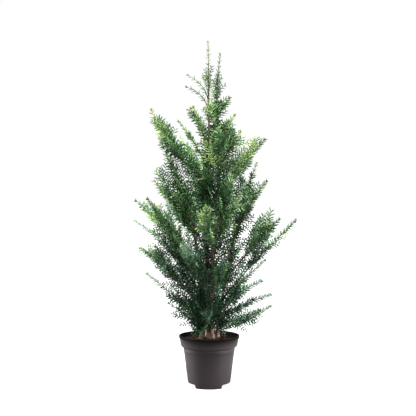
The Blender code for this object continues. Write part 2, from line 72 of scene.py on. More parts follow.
# %% Node helpers
def give(tree, node, inputs):
    """Sets or links inputs of a node, by name or number."""
    for label, value in inputs.items():
        socket = node.inputs[label]
        if isinstance(value, bpy.types.NodeSocket):
            tree.links.new(value, socket)
        else:
            socket.default_value = (*value, 1) if isinstance(value, (tuple, list)) else value


def add_node(tree, kind, inputs, operation=None):
    """A new node with its inputs given."""
    node = tree.nodes.new("ShaderNode" + kind)
    if operation:
        node.operation = operation
    give(tree, node, inputs)
    return node


def axis_of(tree, vector, axis):
    return add_node(tree, "SeparateXYZ", {0: vector}).outputs[axis]


def ranged(tree, mask, low, high, first=0.0, last=1.0):
    """A number that goes from low to high while a mask goes from first to last."""
    inputs = {"Value": mask, "From Min": first, "From Max": last, "To Min": low, "To Max": high}
    return add_node(tree, "MapRange", inputs).outputs["Result"]


def seen_by_camera(tree):
    return add_node(tree, "LightPath", {}).outputs["Is Camera Ray"]


def node_material(name):
    """A new material, its node tree and its Principled shader."""
    made = bpy.data.materials.new(name)
    made.use_nodes = True
    return made, made.node_tree, made.node_tree.nodes["Principled BSDF"]


def placed(name, data, place=(0, 0, 0)):
    """A new object in the scene."""
    obj = bpy.data.objects.new(name, data)
    obj.location = place
    bpy.context.scene.collection.objects.link(obj)
    return obj


print("helpers ready")

# %% [markdown]
# ## A pale studio
# A plant in a catalogue stands on a white sweep before a lit backdrop. Here that is one large plain
# floor and a sky that is bright behind the plant and dim before it, with a soft sun almost overhead.
# A softbox at each side lights the rims of what is round, and a narrow lamp is aimed at the pot.
# The camera stands level with the middle of the plant, far back on a long lens, so that the upright
# stems stay upright.

# %% Camera
CAMERA_PLACE = (-0.004, -2.67, 0.604)
CAMERA_LENS = 67.7
SENSOR_WIDTH = 36.0

camera_data = bpy.data.cameras.new("camera")
camera_data.lens = CAMERA_LENS
camera_data.sensor_width = SENSOR_WIDTH
camera = placed("camera", camera_data, CAMERA_PLACE)
camera.rotation_euler = (math.radians(90), 0, 0)
bpy.context.scene.camera = camera
bpy.context.scene.view_settings.view_transform = "Standard"
print("camera at", CAMERA_PLACE)

# %% Sky
WHITE = (1, 1, 1)
SKY_SEEN = 1.0
SKY_FRONT = 0.25
SKY_BACK = 1.20
# Where the sky's brightness starts and ends its climb, from -1 in front to 1 behind.
SKY_CLIMB = (-0.6, 0.9)


def make_sky():
    """A white world, dim on the camera's side and bright behind the plant."""
    world = bpy.data.worlds.new("studio")
    world.use_nodes = True
    tree = world.node_tree
    heading = add_node(tree, "TexCoord", {}).outputs["Generated"]
    lit = ranged(tree, axis_of(tree, heading, "Y"), SKY_FRONT, SKY_BACK, *SKY_CLIMB)
    strength = ranged(tree, seen_by_camera(tree), lit, SKY_SEEN)
    give(tree, tree.nodes["Background"], {"Color": WHITE, "Strength": strength})
    bpy.context.scene.world = world


make_sky()
print("sky from", SKY_FRONT, "in front to", SKY_BACK, "behind")

# %% Sun, softboxes and lamp
SUN_STRENGTH = 11.0
SUN_ANGLE = 4.0
SUN_TURN = (14.0, 0.0, 15.0)
# Each softbox: its place, its width and height, and its power in watts.
SOFTBOXES = (
    ((-1.35, 0.20, 0.55), (1.1, 1.5), 95.0),
    ((1.35, 0.20, 0.55), (0.9, 1.5), 36.0),
)
LAMP_PLACE = (1.36, -0.63, 0.30)
LAMP_AIM = (0.0, 0.0, 0.085)
LAMP_POWER = 200.0
LAMP_CONE = 12.5
LAMP_BLEND = 0.6
LAMP_RADIUS = 0.12


def make_sun():
    data = bpy.data.lights.new("sun", "SUN")
    data.energy = SUN_STRENGTH
    data.angle = math.radians(SUN_ANGLE)
    placed("sun", data).rotation_euler = [math.radians(turn) for turn in SUN_TURN]


def turn_light(name, data, place, target):
    """Puts a light at a place, turned to its target, and keeps its own face out of the view."""
    light = placed(name, data, place)
    light.rotation_euler = (Vector(target) - Vector(place)).to_track_quat("-Z", "Y").to_euler()
    light.visible_camera = False


def make_softbox(place, size, power):
    """A tall softbox turned to the plant."""
    data = bpy.data.lights.new("softbox", "AREA")
    data.shape = "RECTANGLE"
    data.size, data.size_y = size
    data.energy = power
    turn_light("softbox", data, place, (0, 0, place[2]))


def make_lamp():
    """A narrow lamp low on the right, aimed at the pot."""
    data = bpy.data.lights.new("lamp", "SPOT")
    data.energy = LAMP_POWER
    data.spot_size = math.radians(LAMP_CONE)
    data.spot_blend = LAMP_BLEND
    data.shadow_soft_size = LAMP_RADIUS
    turn_light("lamp", data, LAMP_PLACE, LAMP_AIM)


make_sun()
for softbox in SOFTBOXES:
    make_softbox(*softbox)
make_lamp()
print("lights:", len(SOFTBOXES) + 2)

# %% Floor
FLOOR_SIZE = 60.0
FLOOR_COLOUR = (0.12, 0.12, 0.12)
FLOOR_ROUGHNESS = 0.9
FLOOR_GLOW = 0.88


def make_floor():
    """A plain floor that looks white, but throws little light back up at the plant."""
    material, tree, shader = node_material("white_sweep")
    glow = ranged(tree, seen_by_camera(tree), 0.0, FLOOR_GLOW)
    give(tree, shader, {"Base Color": FLOOR_COLOUR, "Roughness": FLOOR_ROUGHNESS})
    give(tree, shader, {"Emission Color": WHITE, "Emission Strength": glow})
    half = FLOOR_SIZE / 2
    mesh = bpy.data.meshes.new("floor")
    corners = [(-half, -half, 0), (half, -half, 0), (half, half, 0), (-half, half, 0)]
    mesh.from_pydata(corners, [], [(0, 1, 2, 3)])
    mesh.materials.append(material)
    floor = placed("floor", mesh)


make_floor()
print("floor", FLOOR_SIZE, "m wide")

# %% [markdown]
# ## The limbs, as in the model
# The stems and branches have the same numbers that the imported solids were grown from. Five stems
# rise from the soil, and each branch leaves its stem at a height, in a direction, and runs out and
# up to its tip with a slight bow. Writing the same rows here keeps every twig on its own limb.

# %% Stems
SOIL_HEIGHT = 0.160
GAP = 0.0003
FLARE = 0.45
FLARE_HEIGHT = 0.012
STEM_TAPER = 0.75
BUD_RADIUS = 0.0012

Stem = namedtuple("Stem", "name foot tip bulge wave waves radius wood shoot")
STEMS = (
    Stem("leader", (-0.004, 0.018), (-0.004, 0.004, 1.176), (0, 0), (-0.0025, 0), 1.0, 0.0085, 0.80, 0.075),
    Stem("front", (0.009, -0.012), (0.037, -0.022, 1.123), (0, 0), (-0.008, 0), 1.5, 0.0080, 0.80, 0.075),
    Stem("left", (-0.024, -0.002), (-0.157, -0.010, 0.812), (0.045, 0), (0, 0), 1.0, 0.0070, 0.55, 0.115),
    Stem("right", (0.027, 0.004), (0.163, 0.020, 0.758), (-0.020, 0), (0, 0), 1.0, 0.0065, 0.58, 0.090),
    Stem("back", (0.004, 0.040), (-0.030, 0.150, 0.800), (0, -0.030), (0, 0), 1.0, 0.0065, 0.58, 0.110),
)
STEM = {stem.name: stem for stem in STEMS}


def between(start, end, share):
    return start + (end - start) * share


def stem_point(stem, share):
    """Where a stem's middle line is, from 0 at its foot to 1 at its tip."""
    foot = Vector((*stem.foot, SOIL_HEIGHT + GAP))
    tip = Vector(stem.tip)
    bulge = Vector((*stem.bulge, 0)) * (4 * share * (1 - share))
    wave = Vector((*stem.wave, 0)) * math.sin(math.tau * stem.waves * share)
    return foot.lerp(tip, share) + bulge + wave


def stem_length(stem):
    return stem.tip[2] - SOIL_HEIGHT


def stem_radius(stem, share):
    """A stem thins towards its tip, and flares at its foot."""
    height = max(share, 0) * stem_length(stem)
    plain = max(BUD_RADIUS, stem.radius * (1 - max(share, 0)) ** STEM_TAPER)
    return plain * (1 + FLARE * math.exp(-height / FLARE_HEIGHT))


print("stems:", ", ".join(STEM))

# %% Branches
Branch = namedtuple("Branch", "name stem height azimuth reach climb bow shoot main")
MAIN_BRANCHES = (
    "left_crown", "left_wide_high", "left_wide_low", "right_middle", "right_wide_high", "right_wide",
)

# The branches of each stem: a name, then height, azimuth, reach, climb, bow and longest shoot. The
# azimuth is in degrees, and the rest in millimetres.
BRANCH_ROWS = {
    "leader": (
        ("left_crown", 680, 190, 195, 255, -18, 105), ("left_upper", 730, 160, 110, 175, 8, 90),
        ("left_inner", 800, 215, 70, 140, 6, 70), ("crown_left_low", 915, 190, 77, 102, 24, 35),
        ("crown_left_high", 940, 170, 72, 120, 23, 35), ("crown_back", 860, 80, 60, 120, 6, 65),
        ("crown_left", 820, 195, 55, 130, 6, 65), ("back_crown_left", 650, 130, 150, 205, 8, 110),
        ("back_crown_right", 740, 60, 110, 170, 8, 100),
    ),
    "front": (
        ("crown_right", 880, 345, 45, 95, 10, 60), ("crown_front", 840, 235, 55, 120, 6, 65),
        ("crown_right_low", 800, 15, 60, 120, 6, 70), ("right_inner", 760, 60, 65, 115, 6, 70),
        ("right_upper", 720, 335, 80, 140, 6, 85), ("right_crown", 640, 15, 165, 200, 6, 115),
        ("front_crown", 700, 270, 90, 165, 8, 90), ("front_right", 500, 295, 125, 210, 10, 110),
        ("front_middle", 420, 260, 135, 185, 10, 110), ("front_low_left", 300, 235, 165, 180, 10, 115),
        ("front_low_right", 270, 290, 160, 160, 10, 115), ("front_foot", 190, 260, 120, 75, 8, 80),
    ),
    "left": (
        ("left_high", 500, 165, 145, 195, 10, 105), ("left_wide_high", 360, 170, 230, 270, 14, 130),
        ("left_wide_front", 320, 205, 200, 315, 10, 125), ("left_whip", 280, 160, 260, 280, 34, 100),
        ("left_wide_low", 250, 195, 215, 220, 14, 115), ("left_low", 205, 175, 195, 175, 6, 85),
        ("left_foot", 185, 205, 125, 100, 6, 70),
    ),
    "right": (
        ("right_middle", 450, 345, 125, 245, 16, 85), ("right_wide_high", 360, 340, 190, 205, 4, 130),
        ("right_wide", 290, 5, 260, 275, 6, 75), ("right_low_back", 250, 25, 175, 170, 10, 110),
        ("right_low", 220, 340, 150, 140, 18, 85), ("right_low_wide", 195, 10, 185, 110, 16, 85),
        ("right_foot", 180, 345, 185, 95, 0, 90),
    ),
    "back": (
        ("back_left_high", 440, 150, 135, 215, 10, 110), ("back_right_high", 410, 40, 150, 215, 10, 110),
        ("back_left", 300, 135, 195, 200, 14, 115), ("back_right", 280, 50, 195, 190, 14, 115),
        ("back_low", 225, 95, 185, 130, 12, 105), ("back_foot_left", 190, 145, 145, 85, 8, 80),
        ("back_foot_right", 185, 30, 140, 75, 8, 80),
    ),
}
BRANCHES = [
    Branch(name, stem, height / 1000, azimuth, reach / 1000, climb / 1000, bow / 1000, shoot / 1000,
           name in MAIN_BRANCHES)
    for stem, rows in BRANCH_ROWS.items()
    for name, height, azimuth, reach, climb, bow, shoot in rows
]


def share_at_height(stem, height):
    """A stem climbs evenly, so its height gives the share."""
    return (height - SOIL_HEIGHT - GAP) / (stem.tip[2] - SOIL_HEIGHT - GAP)


def branch_point(branch, share):
    """Where a branch's middle line is, from 0 in its stem's heart to 1 at its tip."""
    stem = STEM[branch.stem]
    start = stem_point(stem, share_at_height(stem, branch.height))
    turn = math.radians(branch.azimuth)
    out = Vector((math.cos(turn), math.sin(turn), 0))
    chord = out * branch.reach + Vector((0, 0, branch.climb))
    above = (Vector((0, 0, branch.reach)) - out * branch.climb).normalized()
    return start + chord * share + above * (branch.bow * 4 * share * (1 - share))


def branch_length(branch):
    return math.hypot(branch.reach, branch.climb)


print("branches:", len(BRANCHES))

# %% [markdown]
# ## The growth rule
# A yew's side shoots leave their limb at an acute angle, turn round it by the golden angle and
# shorten towards its tip. The rule is seeded with the limb's own name, so the main shoots leave
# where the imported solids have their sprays.

# %% Side shoots
SPRAY_SPACING = 0.0235
BARE_FOOT = 0.035
BARE_TOP = 0.010
FEWEST_SHOOTS = 3
LEAN_AT_ROOT = 50.0
LEAN_AT_TIP = 34.0
LEAN_JITTER = 7.0
LIFT = 0.22
GOLDEN_ANGLE = 137.5
UPRIGHT = 0.2
TURN_JITTER = 20.0
ROLLS = (45.0, 135.0)
ROLL_JITTER = 30.0
SHRINK = 0.55
SIZE_JITTER = 0.15
END_SPRAY = 0.045
END_OVERLAP = 0.012
BOUGH_SHARE = 0.30
SHOOT_PLACING = (0.25, 0.75)
# How far ahead on a limb, as a share of it, its heading is taken.
STEP_AHEAD = 0.01

Shoot = namedtuple("Shoot", "root along face size share")


def beside(along):
    """A level direction to the left of a limb, or any if the limb is upright."""
    left = Vector((0, 0, 1)).cross(along)
    if left.length < UPRIGHT:
        left = Vector((0, 1, 0)).cross(along)
    return left.normalized()


def around(along, degrees):
    """The direction across a limb at an angle round it, counted from its left side."""
    left = beside(along)
    turn = math.radians(degrees)
    return left * math.cos(turn) + along.cross(left) * math.sin(turn)


def squared(face, along):
    """A face turned as little as it needs to stand square to a direction."""
    return (face - along * face.dot(along)).normalized()


def side_shoots(name, limb, longest, spacing=SPRAY_SPACING):
    """The side shoots of a limb along its leafy part, and last of all its own end."""
    rng = random.Random(name)
    place, first, last, length = limb.place, limb.first, limb.last, limb.length
    count = max(FEWEST_SHOOTS, round((last - first) * length / spacing))
    start = rng.uniform(0, 360)
    shoots = []
    for i in range(count):
        share = (i + rng.uniform(*SHOOT_PLACING)) / count
        at = between(first, last, share)
        lean = between(LEAN_AT_ROOT, LEAN_AT_TIP, share) + rng.uniform(-LEAN_JITTER, LEAN_JITTER)
        size = longest * (1 - SHRINK * share) * rng.uniform(1 - SIZE_JITTER, 1 + SIZE_JITTER)
        turn = start + GOLDEN_ANGLE * i + rng.uniform(-TURN_JITTER, TURN_JITTER)
        roll = rng.choice(ROLLS) + rng.uniform(-ROLL_JITTER, ROLL_JITTER)
        root = place(at)
        along = (place(at + STEP_AHEAD) - root).normalized()
        straight, aside = math.cos(math.radians(lean)), math.sin(math.radians(lean))
        heading = along * straight + around(along, turn) * aside + Vector((0, 0, LIFT))
        heading.normalize()
        shoots.append(Shoot(root, heading, around(heading, roll), size, at))
    root = place(last - END_OVERLAP / length)
    heading = (place(1) - root).normalized()
    roll = rng.choice(ROLLS) + rng.uniform(-ROLL_JITTER, ROLL_JITTER)
    shoots.append(Shoot(root, heading, around(heading, roll), (place(1) - root).length, 1.0))
    return shoots


# A limb is a leafy part of the plant: a branch, or a stem's top above its bare wood.
Limb = namedtuple("Limb", "name stem place start first last length longest")


def branch_limb(branch):
    length = branch_length(branch)
    start = BOUGH_SHARE + GAP / length if branch.main else 0.0
    first = start + BARE_TOP / length if branch.main else BARE_FOOT / length
    place = lambda share: branch_point(branch, share)
    return Limb(branch.name, branch.stem, place, start, first, 1 - END_SPRAY / length, length, branch.shoot)


def top_limb(stem):
    length = stem_length(stem)
    start = stem.wood + GAP / length
    place = lambda share: stem_point(stem, share)
    first, last = start + BARE_TOP / length, 1 - END_SPRAY / length
    return Limb("top_" + stem.name, stem.name, place, start, first, last, length, stem.shoot)


LIMBS = [top_limb(stem) for stem in STEMS] + [branch_limb(branch) for branch in BRANCHES]
print("leafy limbs:", len(LIMBS))

# %% [markdown]
# ## From shoots to twigs
# Each main shoot is a slightly curved twig, and the longer ones carry short twiglets to their left
# and right, in one plane, as a yew's sprays do. Finer shoots fill in between, and short ones clothe
# the stems themselves, since a yew keeps its needles deep inside. A run is one such twig: the points
# along it, its thickness, and the way its upper face looks. All runs are drawn first, and become
# meshes afterwards.

# %% Runs of twig
RUN_POINTS = 6
SAG = 0.12
SWAY = 0.06
SHOOT_RADIUS = 0.0014
END_RADIUS = 0.0008
SHOOT_BARE = 0.05
NEEDLE_EVERY = 0.0096

# order is 0 for a limb's own axis, 1 for a shoot or a frond, 2 for a twiglet and 3 for a fill on a stem.
# bare is the share without needles, needle their length, and radial says that they stand all round.
Run = namedtuple("Run", "limb order points radii face bare needle spacing radial")


def curved(root, along, face, size, rng):
    """Points of a twig that sags a little and sways to one side."""
    side = face.cross(along)
    droop = Vector((0, 0, -SAG * rng.uniform(0, 1)))
    bend = droop + side * rng.uniform(-SWAY, SWAY) + face * rng.uniform(-SWAY, SWAY)
    shares = [i / (RUN_POINTS - 1) for i in range(RUN_POINTS)]
    return [root + along * (size * share) + bend * (size * share * share) for share in shares]


def tapered(first, last, count):
    return [between(first, last, i / (count - 1)) for i in range(count)]


def shoot_run(limb, shoot, order, needle, rng):
    """A shoot as a run with needles in two ranks."""
    points = curved(shoot.root, shoot.along, shoot.face, shoot.size, rng)
    radii = tapered(SHOOT_RADIUS, END_RADIUS, RUN_POINTS)
    return Run(limb, order, points, radii, shoot.face, SHOOT_BARE, needle, NEEDLE_EVERY, False)


print("points in a run:", RUN_POINTS)

# %% Twiglets
TWIGLET_EVERY = 0.020
TWIGLET_CHANCE = 0.5
TWIGLET_LEAN = 36.0
TWIGLET_SHARE = 0.42
SHORTEST_TWIGLET = 0.020
LEAST_FORKED = 0.055
TWIGLETS_START = 0.12
TWIGLETS_SPAN = 0.66
TWIGLET_PLACING = (0.3, 0.7)
TWIGLET_SHRINK = 0.5
TWIGLET_SIZES = (0.75, 1.25)
LEAN_SWING = 8
FACE_SWING = 0.3
TWIGLET_RADIUS = 0.0009
TWIGLET_BARE = 0.04
TWIGLET_NEEDLE = 0.85


def twiglets(run, shoot, rng):
    """Short twigs in the plane of a shoot, to its left and right in turn."""
    if shoot.size < LEAST_FORKED:
        return []
    side = shoot.face.cross(shoot.along).normalized()
    count = int(shoot.size / TWIGLET_EVERY)
    made = []
    for i in range(count):
        share = TWIGLETS_START + TWIGLETS_SPAN * (i + rng.uniform(*TWIGLET_PLACING)) / count
        hand = 1 if i % 2 else -1
        size = shoot.size * TWIGLET_SHARE * (1 - TWIGLET_SHRINK * share) * rng.uniform(*TWIGLET_SIZES)
        if rng.random() > TWIGLET_CHANCE or size < SHORTEST_TWIGLET:
            continue
        at = share * (RUN_POINTS - 1)
        root = run.points[int(at)].lerp(run.points[int(at) + 1], at - int(at))
        lean = math.radians(TWIGLET_LEAN + rng.uniform(-LEAN_SWING, LEAN_SWING))
        along = (shoot.along * math.cos(lean) + side * (hand * math.sin(lean))).normalized()
        face = squared(shoot.face + side * rng.uniform(-FACE_SWING, FACE_SWING), along)
        points = curved(root, along, face, size, rng)
        radii = tapered(TWIGLET_RADIUS, END_RADIUS, RUN_POINTS)
        needle = run.needle * TWIGLET_NEEDLE
        made.append(Run(run.limb, 2, points, radii, face, TWIGLET_BARE, needle, NEEDLE_EVERY, False))
    return made


print("a shoot longer than", LEAST_FORKED, "m carries twiglets")

# %% Whips and looks
# Past this share a limb is a whip: the rule gives it no more side shoots, only its own needles.
WHIPS = {
    "top_leader": 0.875, "top_front": 0.925, "crown_left_low": 0.30, "crown_left_high": 0.30,
    "left_whip": 0.60, "left_low": 0.55, "left_wide_low": 0.80, "left_wide_front": 0.84,
    "right_wide": 0.66, "right_low_wide": 0.70, "right_foot": 0.75, "right_low": 0.70,
    "right_middle": 0.80, "right_crown": 0.85, "right_low_back": 0.55,
}
HANGING = ("crown_left_low", "crown_left_high")

# How full a limb is beside the rule's own size, how many steps lighter its greens are dealt, as fresh
# growth and painted light, with painted shade where the number is below zero, how far its shoots
# shorten towards its tip, whether they are left out above it, and how long its needles are.
Look = namedtuple("Look", "full fresh thin open_above needle", defaults=(1.0, 0.0, 0.40, False, 0.019))
LOOKS = {
    "top_leader": Look(1.0, 1.6, needle=0.014), "top_front": Look(0.9, 1.2, needle=0.014),
    "top_left": Look(0.9, 0.5), "top_right": Look(0.75, 0.2, 0.75, needle=0.016),
    "crown_left_low": Look(1.0, 1.6, needle=0.014), "crown_left_high": Look(1.0, 1.6, needle=0.014),
    "crown_left": Look(0.25, 0.6, needle=0.012), "crown_front": Look(1.0, 2.2),
    "crown_right": Look(0.9, 1.4), "crown_right_low": Look(0.75, 1.5), "front_crown": Look(1.1, 0.9),
    "left_upper": Look(0.24, 0.8, 0.7, needle=0.014), "back_crown_left": Look(0.65, 0.2, 0.6),
    "left_inner": Look(0.4, 0.6, 0.7, needle=0.016),
    "left_crown": Look(0.85, 0.4, 0.6, True, needle=0.02), "left_high": Look(0.9, 0.7, 0.6),
    "left_wide_high": Look(0.9, 0.4, 0.6, needle=0.016), "left_wide_front": Look(0.9, 0.5, needle=0.015),
    "left_whip": Look(0.8, -0.8, needle=0.014), "left_wide_low": Look(0.8, 0.8, needle=0.014),
    "left_low": Look(0.55, -0.6, needle=0.014), "left_foot": Look(0.6, 0.4, needle=0.014),
    "right_upper": Look(0.85, 0.4), "right_inner": Look(1.2), "right_crown": Look(0.7, 0.6, 0.5),
    "right_middle": Look(0.4, 0.5, needle=0.016), "right_wide_high": Look(0.85, 0.2, 0.6),
    "right_wide": Look(0.42, 0.3, needle=0.014), "right_low": Look(0.52, 0.7, needle=0.016),
    "right_low_back": Look(0.4, 0.6, needle=0.014), "right_low_wide": Look(0.48, 1.0, needle=0.016),
    "right_foot": Look(0.6, 1.0, needle=0.014), "front_middle": Look(1.0, 0.5, needle=0.021),
    "front_right": Look(1.0, 0.3, needle=0.02), "front_low_left": Look(0.8, 0.6, needle=0.017),
    "front_low_right": Look(0.8, 0.6, needle=0.016), "front_foot": Look(0.8, -0.9, needle=0.015),
    "back_low": Look(0.65, 0.3), "back_foot_left": Look(0.6, 0.3), "back_foot_right": Look(0.6, 0.3),
    "back_left": Look(0.7, 0.4), "back_right": Look(0.7, 0.4),
}
PLAIN = Look()
print("limbs with a look of their own:", len(LOOKS))

# %% Runs of a limb
FINE_SPACING = 0.0105
FINE_SHARE = 1.20
AXIS_STEP = 0.02
TWIG_ROOT_RADIUS = 0.0026
AXIS_END_RADIUS = 0.0009
AXIS_TAPER = 0.7
AXIS_BARE = 0.35
AXIS_NEEDLE_EVERY = 0.0070
TUCK_MAIN = 0.45
TUCK_FINE = (0.35, 1.5)
END_ROOM = 0.022
RISE = 0.22


def axis_run(limb):
    """The limb's own twig, with needles all round it, or in two ranks on a whip that leans out."""
    steps = max(6, round((1 - limb.start) * limb.length / AXIS_STEP))
    shares = [between(limb.start, 1, i / steps) for i in range(steps + 1)]
    points = [limb.place(share) for share in shares]
    upright = limb.name.startswith("top_")
    thick = stem_radius(STEM[limb.stem], limb.start) if upright else TWIG_ROOT_RADIUS
    radii = [between(thick, AXIS_END_RADIUS, (i / steps) ** AXIS_TAPER) for i in range(steps + 1)]
    ahead = (points[-1] - points[0]).normalized()
    comb = limb.name in WHIPS and not upright and limb.name not in HANGING
    face = beside(ahead) if comb else around(ahead, 90)
    bare = 0.0 if upright else AXIS_BARE
    needle = LOOKS.get(limb.name, PLAIN).needle
    return Run(limb, 0, points, radii, face, bare, needle, AXIS_NEEDLE_EVERY, not comb)


def tucked(limb, shoot, tuck):
    """A shoot turned closer along its limb, and a little upward."""
    ahead = (limb.place(shoot.share + STEP_AHEAD) - limb.place(shoot.share)).normalized()
    along = (shoot.along + ahead * tuck + Vector((0, 0, RISE))).normalized()
    return shoot._replace(along=along, face=squared(shoot.face, along))


def limb_runs(limb):
    """Every run on a limb: its own axis, its main shoots and the finer ones between."""
    rng = random.Random(limb.name + " twigs")
    runs = [axis_run(limb)]
    name = "foliage_" + limb.name
    main = side_shoots(name, limb, limb.longest)
    fine = side_shoots(name + "_fine", limb, limb.longest * FINE_SHARE, FINE_SPACING)
    whip, look = WHIPS.get(limb.name, 1.0), LOOKS.get(limb.name, PLAIN)
    above = around((limb.place(1) - limb.place(limb.first)).normalized(), 90)
    shoots = [tucked(limb, shoot, TUCK_MAIN) for shoot in main[:-1]]
    shoots += [tucked(limb, shoot, rng.uniform(*TUCK_FINE)) for shoot in fine[:-1]]
    for shoot in shoots:
        if shoot.share > whip or (look.open_above and shoot.along.dot(above) > 0):
            continue
        room = (1 - shoot.share) * limb.length + END_ROOM
        size = shoot.size * look.full * (1 - look.thin * shoot.share ** 2)
        shoot = shoot._replace(size=min(size, room))
        run = shoot_run(limb, shoot, 1, look.needle, rng)
        runs += [run] + twiglets(run, shoot, rng)
    return runs


RUNS = [run for limb in LIMBS for run in limb_runs(limb)]
print("runs on the limbs:", len(RUNS))

# %% Shoots on the bare stems
FILL_SPACING = 0.0095
FILL_LONGEST = 0.085
FILL_FOOT = 0.186
FILL_TOP = {"leader": 0.79, "front": 0.93}
LOW = 0.50
NEEDLE_LOW = 0.015
NEEDLE_HIGH = 0.021
OPEN_FRONT = (0.30, 0.585)
OPEN_HALF_WIDTH = 0.004
OPEN_DEPTH = 0.005


def stem_limb(stem):
    """A stem's bare wood as a limb, so that the same rule clothes it."""
    first = share_at_height(stem, FILL_FOOT)
    last = min(stem.wood, share_at_height(stem, FILL_TOP.get(stem.name, 1.0)))
    place = lambda share: stem_point(stem, share)
    return Limb("on_" + stem.name, stem.name, place, 0, first, last, stem_length(stem), FILL_LONGEST)


def needle_at(point):
    """Needles are shorter low down, where there is less light."""
    return NEEDLE_LOW if point.z < LOW else NEEDLE_HIGH


def hides_front_stem(points):
    """True for a twig that would stand before the front stem where its brown wood shows."""
    stem = STEM["front"]
    for point in points[1:]:
        if OPEN_FRONT[0] < point.z < OPEN_FRONT[1]:
            middle = stem_point(stem, share_at_height(stem, point.z))
            if point.y < middle.y + OPEN_DEPTH and abs(point.x - middle.x) < OPEN_HALF_WIDTH:
                return True
    return False


for stem in STEMS:
    limb = stem_limb(stem)
    rng = random.Random(limb.name)
    for shoot in side_shoots(limb.name, limb, limb.longest, FILL_SPACING)[:-1]:
        shoot = tucked(limb, shoot, TUCK_MAIN)
        run = shoot_run(limb, shoot, 3, needle_at(shoot.root), rng)
        RUNS += [run] + twiglets(run, shoot, rng)
print("runs with those on the stems:", len(RUNS))

